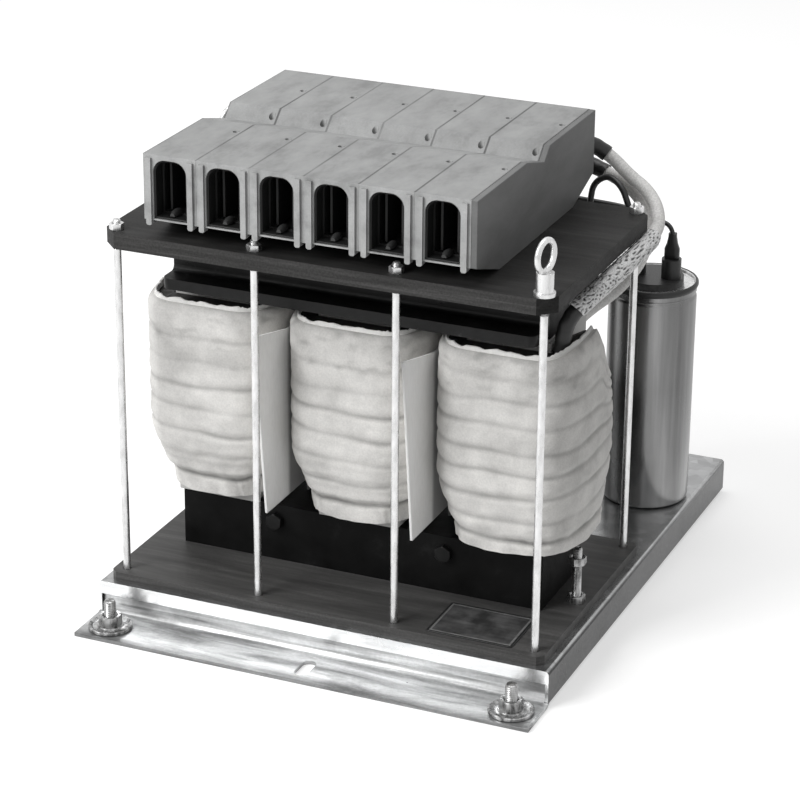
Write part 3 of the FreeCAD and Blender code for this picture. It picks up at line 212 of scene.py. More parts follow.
def make_single(name, texture, tones, roughness, relief, shade=None, **surface):
    """A material whose colour, roughness and relief all follow one noise."""
    finish = Finish(name, **surface)
    marks = finish.noise(*texture)
    finish.colour(finish.spread(marks, *tones), shade)
    finish.roughness(marks, *roughness)
    finish.height(marks, relief, 0.3)


def make_board(name, share, edge, specular):
    """Streaked laminate, at a share of the lower board's lightness: a share below 1 is painted shade. edge
    lightens its front edge as a painted highlight.
    """
    finish = Finish(name, specular=specular)
    streaks = finish.noise(10, 6, 0.68, (1, 10, 26), 0.4)
    grain = finish.noise(700, 3, 0.6)
    base = finish.levels(streaks, (0.30, 0.042 * share), (0.52, 0.070 * share), (0.72, 0.115 * share))
    base = finish.multiply(base, finish.levels(grain, (0.35, 0.75), (0.65, 1.15)), 0.8)
    # Painted highlight on faces along Y, where edge is above 1
    base = finish.multiply(base, edge, finish.facing(Y, (0.85, 0.0), (0.95, 1.0)))
    finish.colour(base, (1.0, 0.985, 0.97))
    finish.roughness(grain, 0.42, 0.60)
    finish.height(grain, 0.06, 0.3)
    finish.height(streaks, 0.25, 0.3)


def make_core():
    """Varnished iron, with the lines of its laminations where it doesn't face front or rear."""
    finish = Finish("core", specular=0.10)
    sheets = finish.waves(500, "Y", 0.6)
    rust = finish.noise(60, 5, 0.65)
    edge = finish.facing(Y, (0.3, 1.0), (0.7, 0.0))
    base = finish.levels(rust, (0.30, 0.003), (0.60, 0.006), (0.80, 0.018))
    finish.colour(finish.multiply(base, finish.levels(sheets, (0.2, 0.55), (0.8, 1.5)), edge))
    finish.roughness(rust, 0.38, 0.62)
    finish.height(finish.blend(0.5, sheets, edge), 0.25, 0.5)
    finish.height(rust, 0.3, 0.25)


def make_clamp():
    """Black paint with a few worn spots."""
    finish = Finish("clamp", specular=0.22)
    paint = finish.noise(120, 4, 0.6)
    wear = finish.noise(35, 5, 0.7)
    finish.colour(finish.levels(wear, (0.45, 0.004), (0.64, 0.010), (0.74, 0.070)))
    finish.roughness(paint, 0.32, 0.50)
    finish.height(paint, 0.2, 0.3)


def make_coil_tape():
    """Woven cotton tape, blotched by varnish, with painted light that lightens it towards the foot and
    darkens it towards the top, and painted shade in the folds.
    """
    finish = Finish("coil_tape", specular=0.25)
    upright, across, along = [finish.waves(480, direction, 0.3) for direction in "ZXY"]
    blotch = finish.noise(38, 5, 0.6)
    fibre = finish.noise(900, 2, 0.6)
    base = finish.levels(blotch, (0.30, 0.53), (0.50, 0.67), (0.70, 0.79))
    base = finish.multiply(base, finish.spread(fibre, 0.88, 1.05), 0.8)
    # Painted light: lighter towards the foot and darker towards the top
    up = finish.reach(Z, 74, 206)
    base = finish.multiply(base, finish.levels(up, (0.05, 1.17), (0.5, 1.04), (1.0, 0.95)))
    # Painted shade in the folds, together with the blotches near the top, from the coil's crease values
    base = finish.multiply(base, 0.30, finish.attribute("crease"))
    finish.colour(base, (1.0, 0.985, 0.955))
    finish.roughness(blotch, 0.70, 0.88)
    threads = finish.blend(finish.blend(upright, across, 0.5), along, 0.33)
    finish.height(threads, 0.12, 0.5)
    finish.height(fibre, 0.1, 0.35)
    finish.set("Sheen Weight", 0.15)


def make_paper(name, level, sheer=False):
    """Pressed paper. A sheer sheet lets light through and carries painted shade where it passes between the
    coils.
    """
    finish = Finish(name, specular=0.25)
    fibre = finish.noise(500, 4, 0.65, (1, 1, 0.25))
    base = finish.spread(finish.noise(30, 4, 0.6), level * 0.92, level)
    base = finish.multiply(base, finish.spread(fibre, 0.90, 1.04), 0.8)
    if sheer:
        finish.set("Subsurface Weight", 1.0)
        finish.set("Subsurface Radius", (1, 1, 1))
        finish.set("Subsurface Scale", 0.003)
        # Painted shade on the part of the sheet that runs into the gap between the coils
        base = finish.multiply(base, finish.levels(finish.reach(Y, -114, -103), (0.2, 1.0), (0.6, 0.22)))
    finish.colour(base, (1.0, 0.99, 0.965))
    finish.roughness(fibre, 0.62, 0.82)
    finish.height(fibre, 0.08, 0.4)
    finish.set("Sheen Weight", 0.8)
    finish.set("Sheen Roughness", 0.6)


def shade_blocks(finish, base):
    """Smudge the terminal blocks, lighten their fronts as a painted highlight and paint shade along the
    joints between them.
    """
    smudge = finish.noise(70, 4, 0.65, (1, 0.5, 1))
    base = finish.multiply(base, finish.levels(smudge, (0.30, 0.72), (0.48, 1.0), (0.72, 1.18)), 0.9)
    # Painted highlight: faces along Y are 1.45 times lighter
    base = finish.multiply(base, 1.45, finish.facing(Y, (0.85, 0.0), (0.95, 1.0)))
    # Painted shade along the joints between blocks, on top faces only, its strength varied by noise
    blocks_along = finish.reach(X, -115, -80, clamped=False)
    from_joint = maths(finish.tree, "PINGPONG", blocks_along, 0.5)
    joint = finish.levels(from_joint, (0.0, 0.12), (0.012, 0.30), (0.026, 1.0))
    joint_shade_strength = finish.levels(finish.noise(9, 3, 0.6), (0.38, 0.35), (0.60, 1.0))
    return finish.blend(base, finish.multiply(base, joint, joint_shade_strength), finish.facing(Z, (0.5, 0.0), (0.7, 1.0)))


def make_plastic(name, tones, roughness, blocks=False):
    """A moulded plastic with a fine grain and faint flow marks."""
    finish = Finish(name, specular=0.4)
    grain = finish.noise(900, 3, 0.6)
    flow = finish.noise(26, 5, 0.62, (1, 0.35, 1), 0.5)
    base = finish.multiply(finish.spread(flow, *tones), finish.spread(grain, 0.90, 1.08), 0.7)
    finish.colour(shade_blocks(finish, base) if blocks else base, (0.99, 1.0, 0.995))
    finish.roughness(grain, roughness - 0.07, roughness + 0.09)
    finish.height(grain, 0.05, 0.4)


def make_winding():
    """Varnished turns of wire, seen inside the coils' collars."""
    finish = Finish("winding", specular=0.3)
    varnish = finish.noise(90, 5, 0.65)
    finish.colour(finish.levels(varnish, (0.30, 0.006), (0.60, 0.016), (0.80, 0.045)), (1.0, 0.93, 0.86))
    finish.roughness(varnish, 0.35, 0.60)
    finish.height(finish.waves(260, "Z", 1.5), 0.3, 0.4)
    finish.height(varnish, 0.2, 0.3)


def make_can():
    """Drawn aluminium, with a painted reflection of the deck that lightens it near the foot."""
    finish = Finish("can", metallic=0.85)
    streaks = finish.noise(60, 4, 0.6, (1, 1, 0.04))
    haze = finish.noise(22, 4, 0.6, (1, 1, 0.4))
    base = finish.levels(streaks, (0.30, 0.13), (0.55, 0.24), (0.75, 0.40))
    base = finish.multiply(base, finish.spread(haze, 0.75, 1.10), 0.7)
    # Painted reflection of the deck: up to 1.8 times lighter at the foot
    finish.colour(finish.multiply(base, finish.levels(finish.reach(Z, 26, 110), (0.0, 1.8), (1.0, 1.0))))
    finish.roughness(haze, 0.20, 0.34)
    finish.height(streaks, 0.06, 0.3)


def make_sleeving():
    finish = Finish("white_sleeving", specular=0.35)
    threads = finish.cells(900, "Distance")
    dirt = finish.noise(70, 5, 0.6)
    base = finish.levels(dirt, (0.30, 0.80), (0.65, 0.95))
    base = finish.multiply(base, finish.levels(threads, (0.1, 1.05), (0.7, 0.72)), 0.7)
    finish.colour(base, (1.0, 0.99, 0.97))
    finish.roughness(dirt, 0.50, 0.70)
    finish.height(threads, 0.18, 0.5)


def make_braid():
    """Pale strands over dark ones, as far as each is raised."""
    finish = Finish("braid", specular=0.35)
    fibre = finish.noise(1200, 3, 0.6)
    base = finish.levels(finish.attribute("thread"), (0.10, 0.04), (0.38, 0.42), (0.68, 0.97))
    finish.colour(finish.multiply(base, finish.levels(fibre, (0.35, 0.55), (0.65, 1.15)), 0.7))
    finish.roughness(fibre, 0.48, 0.68)
    finish.height(fibre, 0.1, 0.4)


def make_plate():
    """Brushed and stained metal."""
    finish = Finish("plate", metallic=0.3)
    brush = finish.noise(260, 4, 0.6, (0.06, 1, 1))
    wear = finish.levels(finish.noise(60, 4, 0.6), (0.38, 0.45), (0.62, 1.6))
    finish.colour(finish.multiply(finish.spread(brush, 0.060, 0.110), wear, 0.9))
    finish.roughness(brush, 0.30, 0.45)
    finish.height(brush, 0.04, 0.3)


ZINC_MARKS = (300, 4, 0.6, (1, 1, 0.3))

make_galvanised()
make_rail()
make_single("zinc", ZINC_MARKS, (0.56, 0.84), (0.20, 0.36), 0.05, metallic=0.9)
# A darker copy of the zinc: painted shade on the foot hardware and the earth terminal
make_single("zinc_dull", ZINC_MARKS, (0.10, 0.60), (0.20, 0.36), 0.05, metallic=0.9)
make_single("copper", (140, 5, 0.65), (0.42, 0.68), (0.28, 0.46), 0.06, (1.0, 0.72, 0.52), metallic=0.9)
make_single("black_wire", (350, 3, 0.6), (0.008, 0.020), (0.34, 0.52), 0.06, specular=0.45)
make_single("plate_border", (300, 4, 0.6), (0.26, 0.40), (0.32, 0.48), 0.03, metallic=0.6)
make_board("board", 1.0, 1.0, 0.22)
# The upper board: a darker copy of the same laminate as painted shade, with its front edge lightened as a
# painted highlight
make_board("board_upper_shaded", 0.42, 1.9, 0.06)
make_core()
make_clamp()
make_coil_tape()
make_paper("pressboard", 0.60)
make_paper("paper", 0.90)
make_paper("separator", 0.98, sheer=True)
make_winding()
make_plastic("terminal", (0.235, 0.295), 0.55, blocks=True)
# A darker copy of the terminal plastic for the end plate: painted shade on the row's side
make_plastic("terminal_end", (0.0924, 0.1876), 0.62)
# Near-black liners: painted shade inside the terminal openings
make_plastic("terminal_inside", (0.0088, 0.0112), 0.50)
# A darker copy of the terminal plastic for the wire guides: painted shade inside the openings
make_plastic("wire_guide", (0.0308, 0.0392), 0.50)
make_plastic("black_plastic", (0.01408, 0.01792), 0.40)
make_can()
make_sleeving()
make_braid()
make_plate()


# CAD nodes that stay
TERMINALS = ["terminal_%d" % number for number in NUMBERS]

finish_of = {
    "galvanised": ["base_tray"],
    "rail": ["foot_rail_front", "foot_rail_rear"],
    "board": ["lower_board"],
    "board_upper_shaded": ["upper_board"],
    "zinc": ["eye_nut_front", "eye_nut_rear", "clamp_cages", "clamp_spindles"],
    "core": ["core_limbs", "core_yoke"],
    "clamp": ["clamp_angle_front", "clamp_angle_rear"],
    "pressboard": ["air_gap_sheet"] + ["former_" + side for side in SIDES],
    "separator": ["separator_left", "separator_right"],
    "terminal": TERMINALS,
    "terminal_end": ["terminal_end_plate"],
    "copper": ["current_bars"],
    "black_plastic": ["capacitor_lid_" + side for side in SIDES],
    "black_wire": ["capacitor_jumpers"] + ["capacitor_wire_" + side for side in SIDES],
    "white_sleeving": ["lead_%d" % number for number in NUMBERS],
}
for finish, names in finish_of.items():
    for name in names:
        nodes[name].data.materials.clear()
        nodes[name].data.materials.append(materials[finish])

rounding = {
    0.25: ["separator_left", "separator_right"],
    0.4: ["foot_rail_front", "foot_rail_rear"],
    0.5: ["base_tray", "lower_board", "core_limbs", "core_yoke", "terminal_end_plate"] + TERMINALS,
    0.6: ["upper_board", "clamp_angle_front", "clamp_angle_rear"],
}


def soften(thing, width):
    """Join the split corners of a CAD mesh, clear its flat faces and round its sharp edges."""
    weld = thing.modifiers.new("weld", "WELD")
    weld.merge_threshold = 0.01 * MM
    flat = thing.modifiers.new("flat", "DECIMATE")
    flat.decimate_type = "DISSOLVE"
    flat.angle_limit = math.radians(0.5)
    bevel = thing.modifiers.new("bevel", "BEVEL")
    bevel.width = width * MM
    bevel.segments = 2
    bevel.limit_method = "ANGLE"
    bevel.angle_limit = math.radians(35)
    bevel.harden_normals = True


for width, names in rounding.items():
    for name in names:
        soften(nodes[name], width)


# Mesh building, in millimetres
class Shape:
    """Points and faces of one piece, with a material number for each face."""

    def __init__(self):
        self.points = []
        self.faces = []
        self.kinds = []

    def ring(self, points):
        first = len(self.points)
        self.points += [tuple(point) for point in points]
        return list(range(first, first + len(points)))

    def bridge(self, first, second, kind=0):
        count = len(first)
        for step in range(count):
            following = (step + 1) % count
            self.faces.append((first[step], first[following], second[following], second[step]))
            self.kinds.append(kind)

    def cap(self, ring, kind=0, upwards=True):
        self.faces.append(tuple(ring if upwards else reversed(ring)))
        self.kinds.append(kind)

    def rings(self, rows, kind=0):
        """Join closed rows of points one after another and return their numbers."""
        numbers = [self.ring(row) for row in rows]
        for first, second in zip(numbers, numbers[1:]):
            self.bridge(first, second, kind)
        return numbers

    def solid(self, rows):
        numbers = self.rings(rows)
        self.cap(numbers[0], upwards=False)
        self.cap(numbers[-1])


def make_piece(name, shape, finishes, replaced=None, angle=40):
    """Turn a shape into an object. Its finishes become its materials in order, each face taking the one its
    kind numbers, and the CAD part it replaces, if one is given, is hidden.
    """
    finishes = finishes.split()
    mesh = bpy.data.meshes.new(name)
    mesh.from_pydata([[value * MM for value in point] for point in shape.points], [], shape.faces)
    mesh.polygons.foreach_set("material_index", shape.kinds)
    for finish in finishes:
        mesh.materials.append(materials[finish])
    mesh.validate()
    mesh.update()
    mesh.shade_smooth()
    mesh.set_sharp_from_angle(angle=math.radians(angle))
    piece = bpy.data.objects.new(name, mesh)
    bpy.context.scene.collection.objects.link(piece)
    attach(piece, "root")
    if replaced:
        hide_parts(replaced)
    return piece


def store(piece, name, values):
    """Keep a value at each point for the piece's material."""
    piece.data.attributes.new(name, "FLOAT", "POINT").data.foreach_set("value", values)


def circle(radius, height, count):
    turns = [2 * math.pi * step / count for step in range(count)]
    return [(radius * math.cos(turn), radius * math.sin(turn), height) for turn in turns]


def lathe(profile, count=48):
    return [circle(radius, height, count) for radius, height in profile]


def placed(rows, centre, axis="z"):
    """Move rows built about the Z axis to a centre, turned onto the Y axis if asked."""
    moved = []
    for row in rows:
        if axis == "y":
            row = [(x, z, -y) for x, y, z in row]
        moved.append([(x + centre[0], y + centre[1], z + centre[2]) for x, y, z in row])
    return moved


def nut_rows(flats, bore, height, count=48):
    """A hexagon nut, chamfered at both faces: its outside, its two faces and its bore."""
    def hexagon(level):
        row = []
        corner_limit = flats / 2 * 1.03 + min(level, height - level) * 1.9
        for step in range(count):
            angle = 2 * math.pi * step / count
            from_flat = (angle + math.pi / 6) % (math.pi / 3) - math.pi / 6
            radius = min(flats / 2 / math.cos(from_flat), corner_limit)
            row.append((radius * math.cos(angle), radius * math.sin(angle), level))
        return row

    outside = [hexagon(height * share) for share in (0.0, 0.06, 0.14, 0.5, 0.86, 0.94, 1.0)]
    sink = bore * 0.12
    inside = lathe([(bore / 2 + sink, height), (bore / 2, height - sink), (bore / 2, sink),
                    (bore / 2 + sink, 0.0)], count)
    return outside + inside + [outside[0]]


def thread_rows(diameter, foot, top, pitch, count=20):
    """A screwed rod between two levels, with a chamfer at its top end."""
    depth = pitch * 0.55
    rings_a_turn = 6
    steps = max(2, int((top - foot) / pitch * rings_a_turn))
    rows = []
    for level in range(steps + 1):
        height = foot + (top - foot) * level / steps
        fade = min(1.0, (top - height) / pitch)
        row = []
        for step in range(count):
            phase = (height / pitch - step / count) % 1.0
            radius = diameter / 2 - depth * abs(2 * phase - 1) - (1 - fade) * depth * 0.8
            angle = 2 * math.pi * step / count
            row.append((radius * math.cos(angle), radius * math.sin(angle), height))
        rows.append(row)
    return rows


# Places that the CAD model gives, in millimetres
def node_box(name):
    low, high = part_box(name)
    return [value / MM for value in low], [value / MM for value in high]


def node_middle(name):
    low, high = node_box(name)
    return (low[X] + high[X]) / 2, (low[Y] + high[Y]) / 2


ROD_RADIUS = 2.5
rod_low, rod_high = node_box("tie_rods")
rod_x = [rod_low[X] + ROD_RADIUS + step * (rod_high[X] - rod_low[X] - 2 * ROD_RADIUS) / 3
         for step in range(4)]
rod_y = [rod_low[Y] + ROD_RADIUS, rod_high[Y] - ROD_RADIUS]
rod_places = [(x, y) for y in rod_y for x in rod_x]
upper_board_top = node_box("upper_board")[1][Z]
lower_board_top = node_box("lower_board")[1][Z]


# Fasteners
def make_tie_rods():
    foot_thread, top_thread, pitch = 14, 19, 0.8
    foot, top = rod_low[Z], rod_high[Z]
    # The lower thread is built upwards and mirrored, so that its chamfer is at the rod's lower end
    mirrored = [[(x, y, foot * 2 + foot_thread - z) for x, y, z in row]
                for row in thread_rows(ROD_RADIUS * 2, foot, foot + foot_thread, pitch)][::-1]
    plain = [circle(ROD_RADIUS - 0.12, height, 20)
             for height in np.linspace(foot + foot_thread, top - top_thread, 12)]
    threaded = thread_rows(ROD_RADIUS * 2, top - top_thread, top, pitch)
    shape = Shape()
    for place in rod_places:
        shape.solid(placed(mirrored + plain + threaded, (*place, 0)))
    make_piece("tie_rods_turned", shape, "zinc", "tie_rods")


def make_tie_rod_nuts():
    nut = nut_rows(8, 5.1, 4)
    eyes = {(rod_x[3], rod_y[0]), (rod_x[0], rod_y[1])}
    shape = Shape()
    for place in rod_places:
        if place not in eyes:
            shape.rings(placed(nut, (*place, upper_board_top)))
        above_foot = 2.5 if place[1] == rod_y[0] else 5
        shape.rings(placed(nut, (*place, rod_low[Z] + above_foot)))
    make_piece("tie_rod_nuts_turned", shape, "zinc", "tie_rod_nuts")


# The cup washer's profile: distance from its axis, height above the rail
WASHER = ((4.35, 0), (13.2, 0), (14, 0.5), (14, 1.9), (13.4, 2.4), (12.6, 2.35), (11.6, 1.5), (9.4, 1.25),
          (8.3, 1.5), (7.9, 2.3), (7.2, 2.4), (4.35, 2.4), (4.35, 0))


def make_foot_hardware():
    low, high = node_box("foot_studs")
    stud_radius, rail, washer = 4, 2.5, 2.4
    studs, nuts, washers = Shape(), Shape(), Shape()
    for x in (low[X] + stud_radius, high[X] - stud_radius):
        place = (x, (low[Y] + high[Y]) / 2)
        studs.solid(placed(thread_rows(stud_radius * 2, 0.0, high[Z], 1.25, 28), (*place, 0)))
        nuts.rings(placed(nut_rows(13, 8.1, 6.5), (*place, rail + washer)))
        washers.rings(placed(lathe(WASHER), (*place, rail)))
    make_piece("foot_studs_threaded", studs, "zinc_dull", "foot_studs")
    make_piece("foot_nuts_chamfered", nuts, "zinc_dull", "foot_nuts")
    make_piece("foot_washers_cupped", washers, "zinc_dull", "foot_washers")


def make_earth_terminal():
    low, high = node_box("earth_stud")
    place = node_middle("earth_stud")
    stud, nuts = Shape(), Shape()
    stud.solid(placed(thread_rows(6, low[Z], high[Z], 1.0, 28), (*place, 0)))
    for height in (0, 26):
        nuts.rings(placed(nut_rows(10, 6.1, 5), (*place, low[Z] + height)))
    make_piece("earth_stud_threaded", stud, "zinc_dull", "earth_stud")
    make_piece("earth_nuts_chamfered", nuts, "zinc_dull", "earth_nuts")


def make_yoke_bolts():
    core_low, core_high = node_box("core_yoke")
    limbs_low, limbs_high = node_box("core_limbs")
    clamp, inner, head = 7, 58, 4
    outer = core_high[X] - 12
    upper_z = node_box("clamp_angle_front")[0][Z] + clamp + 12
    lower_z = lower_board_top + 27
    front, rear = core_low[Y] - clamp, core_high[Y] + clamp
    upper = [(x, upper_z, front, rear) for x in (-outer, -inner, inner, outer)]
    lower = [(x, lower_z, limbs_low[Y], limbs_high[Y]) for x in (-inner, inner)]
    bolts, nuts = Shape(), Shape()
    for x, z, front, rear in upper + lower:
        # The head is the nut's outside without its bore
        bolts.solid(placed(nut_rows(10, 2.0, head)[:7], (x, front - head, z), "y"))
        bolts.solid(placed(lathe([(2.9, 0), (2.9, rear - front)], 24), (x, front, z), "y"))
        bolts.solid(placed(thread_rows(6, 0, 6.5, 1.0, 24), (x, rear, z), "y"))
        nuts.rings(placed(nut_rows(10, 6.1, 4), (x, rear, z), "y"))
    make_piece("yoke_bolts_turned", bolts, "clamp", "yoke_bolts")
    make_piece("yoke_nuts_chamfered", nuts, "clamp", "yoke_nuts")


# Coils: taped windings with folds between the turns of tape, and a paper collar round a dark filling
# Plan: half the flat middle and the power of the rounded ends. Top: height of collar and curled lip
FLAT = 14.0
BULGE = 3.0
COLLAR = 3.5
LIP = 6
# How far the foot draws in at heights above its edge
FOOT_HEIGHTS = (0, 8, 13, 17, 22, 27, 33, 41)
FOOT_INSETS = (11.5, 10.8, 10.0, 7.4, 6.0, 4.0, 1.8, 0)
# How much of that the left and the right side of each coil take
FOOT_SHARES = {"left": (0.95, 0.95), "middle": (0.85, 0.85), "right": (0.75, 0.15)}
# The first fold and the step to the next one as shares of the height, and how deep each fold is
FOLDS = {
    "left": (0.110, 0.1250, (1.7, 0.55, 0.9, 0.6, 1.15, 0.35, 0.5)),
    "middle": (0.096, 0.1240, (1.7, 0.65, 0.6, 0.9, 1.15, 0.35, 0.5)),
    "right": (0.067, 0.1190, (1.6, 0.7, 1.0, 0.9, 1.0, 0.85, 0.75, 0.5)),
}
# The right coil's drawn-up corner: places from front to rear, and how far the edge rises there
PEAK_PLACES = (-50, -30, -12, 1.5, 8, 16, 24, 32, 40, 54)
PEAK_RISES = (0, 3, 4.5, 6.5, -6, -19, -26, -32, -36, -34)
PEAK_LEAN = 0.07
# Half the bore's width and depth, with clearance to the former
BORE = (27.3, 31.3)


def coil_outline(half_x, half_y):
    """Points round a coil's plan with their outward directions and distances along."""
    corner_steps, flat_steps = 36, 10
    quarter = []
    for step in range(corner_steps):
        angle = math.pi / 2 * step / corner_steps
        quarter.append((FLAT + (half_x - FLAT) * math.cos(angle) ** (2 / BULGE),
                        half_y * math.sin(angle) ** (2 / BULGE)))
    front = [(FLAT - 2 * FLAT * step / flat_steps, half_y) for step in range(flat_steps)]
    half = quarter + front + [(-x, y) for x, y in [(FLAT, half_y)] + quarter[:0:-1]]
    points = half + [(-x, -y) for x, y in half]
    samples = []
    travelled = 0.0
    for number, (x, y) in enumerate(points):
        before, after = points[number - 1], points[(number + 1) % len(points)]
        run, rise = after[0] - before[0], after[1] - before[1]
        length = math.hypot(run, rise)
        if number:
            travelled += math.hypot(x - before[0], y - before[1])
        samples.append((x, y, rise / length, -run / length, travelled))
    return samples, travelled + math.hypot(points[0][0] - points[-1][0], points[0][1] - points[-1][1])


def make_coil(side, seed, peaked=False):
    low, high = node_box("coil_" + side)
    centre_x, centre_y = node_middle("coil_" + side)
    foot, top = low[Z], high[Z] - COLLAR
    half_x, half_y = (high[X] - low[X]) / 2, (high[Y] - low[Y]) / 2
    samples, around = coil_outline(half_x, half_y)
    shape = Shape()
    creases = []
    rng = np.random.default_rng(seed)
    first, step, depths = FOLDS[side]
    edges = [foot + (top - foot) * (first + step * number + rng.uniform(-0.006, 0.006))
             for number in range(len(depths))]
    swells = rng.uniform(-0.4, 0.4, len(edges) + 1)
    sways = rng.uniform(0, 2 * math.pi, len(edges))

    def rough(across, up, salt):
        return noise.noise(Vector((across, up, salt)))

    def inset(level, out_x):
        """How far the tape lies inside the outline at its upper lip and at the foot."""
        if level > top - LIP:
            return 2.8 * ((level - top + LIP) / LIP) ** 2.2
        left, right = FOOT_SHARES[side]
        share = left + (right - left) * (1 + out_x) / 2
        return share * float(np.interp(level - foot, FOOT_HEIGHTS, FOOT_INSETS))

    def rounder(x, y, level):
        """The plan turns from a rounded oblong towards an ellipse at the foot."""
        ellipse = min(1.0, 1 / math.hypot(x / half_x, y / half_y))
        return 1 - 0.6 * max(0.0, 1 - (level - foot) / 45) * (1 - ellipse)

    def skin(sample, level):
        """The height of the tape above the outline, and how dark it is painted: painted shade in its folds
        and pleats, and blotches near the top.
        """
        x, y, _, out_y, along = sample
        turn = 2 * math.pi * along / around
        proud, dark = 0.5, 0.0
        band = 0
        for number, edge in enumerate(edges):
            line = edge + 0.8 * math.sin(turn + sways[number]) + 0.5 * math.sin(3 * turn + 2 * sways[number])
            line += 1.4 * rough(x * 0.05, y * 0.05, number * 7.1 + seed) - 1.6 * out_y ** 2
            gap = level - line
            if gap > 0:
                band = number + 1
            strength = max(0.0, depths[number] * (0.8 + 0.6 * rough(along * 0.03, number * 3.7, seed)))
            width = 1.5 if gap < 0 else 3.6
            proud -= 1.2 * strength * math.exp(-(gap / width) ** 2)
            proud += 0.5 * strength * math.exp(-((gap - 5.0) / 3.0) ** 2)
            # Painted shade in the fold
            dark += 0.60 * strength * math.exp(-((gap - 0.4) / 1.7) ** 2)
        proud += swells[band] * 0.8
        proud += 0.40 * rough(along * 0.09, level * 0.12, seed * 3.0)
        proud += 0.16 * rough(along * 0.5, level * 0.30, seed * 5.0)
        pleat = (foot + 30 - level) / 30
        if pleat > 0:
            wave = rough(along * 0.14 + level * 0.05, level * 0.06, seed * 9.0)
            proud += pleat * 1.2 * wave
            # Painted shade in the pleats of the foot
            dark += max(0.0, -wave) * pleat * 0.45
        if level > top - 26:
            dark += max(0.0, rough(along * 0.11, level * 0.2, seed * 4.0) - 0.15) * 0.7
        return min(proud, 1.6), min(1.0, dark)

    def raised(y, out_x):
        """The lead draws the tape up into a point, and the tape sinks behind it."""
        if not peaked or out_x < -0.15:
            return 0.0
        rise = float(np.interp(y, PEAK_PLACES, PEAK_RISES))
        share = min(1.0, max(0.0, (out_x - 0.1) / 0.35) if rise > 0 else (out_x + 0.15) / 0.40)
        return rise * share * share * (3 - 2 * share)

    rows = []
    for level in np.concatenate([np.linspace(foot, top - 8, 100), np.linspace(top - 7, top, 12)]):
        row = []
        for sample in samples:
            proud, dark = skin(sample, level)
            x, y, out_x, out_y, along = sample
            out = proud - inset(level, out_x) + (1.5 * max(0.0, out_x) if peaked else 0.0)
            plan = rounder(x, y, level)
            lift = raised(y, out_x)
            reach = 22 if lift > 0 else 78
            share = max(0.0, (level - top + reach) / reach) ** 1.5
            out -= abs(lift) * PEAK_LEAN * share
            row.append((centre_x + x * plan + out_x * out, centre_y + y * plan + out_y * out,
                        level + lift * share))
            creases.append(dark)
        rows.append(row)

    def drawn_in(depth, height, ragged=0.0):
        """A row inside the outline, at a height above the tape's upper edge."""
        row = []
        for x, y, out_x, out_y, along in samples:
            jitter = ragged * rough(along * 0.12, depth * 0.2, seed * 2.0)
            jitter += ragged * 0.7 * rough(along * 0.55, depth * 0.2, seed * 6.0)
            lift = raised(y, out_x)
            inwards = depth + abs(lift) * PEAK_LEAN
            row.append((centre_x + x - out_x * inwards, centre_y + y - out_y * inwards,
                        top + height + jitter + min(lift, lift * 0.5 + 2)))
        return row

    def round_bore(level, sunk):
        """A row close to the bore, sunk by a share where the tape sinks."""
        row = []
        for x, y, out_x, _, _ in samples:
            inner_x = max(-BORE[0], min(BORE[0], x))
            inner_y = max(-BORE[1], min(BORE[1], y))
            row.append((centre_x + inner_x + 0.03 * (x - inner_x), centre_y + inner_y + 0.03 * (y - inner_y),
                        level + min(0.0, raised(y, out_x)) * sunk))
        return row

    tape = shape.rings(rows + [drawn_in(3.4, 0.3)])
    paper = shape.rings([drawn_in(3.9, 0.3), drawn_in(3.9, 2.4, 1.6), drawn_in(4.2, 2.7, 1.6),
                         drawn_in(5.0, 2.6, 1.6), drawn_in(5.3, 2.2, 1.6), drawn_in(5.3, -1.5)], 1)
    shape.bridge(tape[-1], paper[0], 1)
    filling = shape.rings([drawn_in(6.4, -1.2, 0.6), drawn_in(8.6, -0.8, 0.6),
                           round_bore(top - 1.0, 0.9), round_bore(foot, 0.0)], 2)
    shape.bridge(paper[-1], filling[0], 2)
    shape.bridge(filling[-1], tape[0], 2)
    creases += [0.1] * (len(shape.points) - len(creases))
    piece = make_piece("coil_%s_taped" % side, shape, "coil_tape paper winding", "coil_" + side, angle=70)
    store(piece, "crease", creases)


# Terminal openings: near-black liners, as painted shade inside the openings, with a seat line at the mouth,
# ribs inside and a wire guide
OPENING_FOOT = upper_board_top + 13
OPENING_HEIGHT = 37


def mouth_outline(x, y, foot, shrink):
    """An opening's outline with round upper corners, seen along Y."""
    half, head, radius = 11 - shrink, foot + OPENING_HEIGHT - shrink, 8 - shrink
    points = [(x - half, y, foot + shrink), (x + half, y, foot + shrink)]
    for side, start in ((1, 0), (-1, 90)):
        for step in range(9):
            angle = math.radians(start + 90 * step / 8)
            points.append((x + (half - radius) * side + radius * math.cos(angle), y,
                           head - radius + radius * math.sin(angle)))
    return points


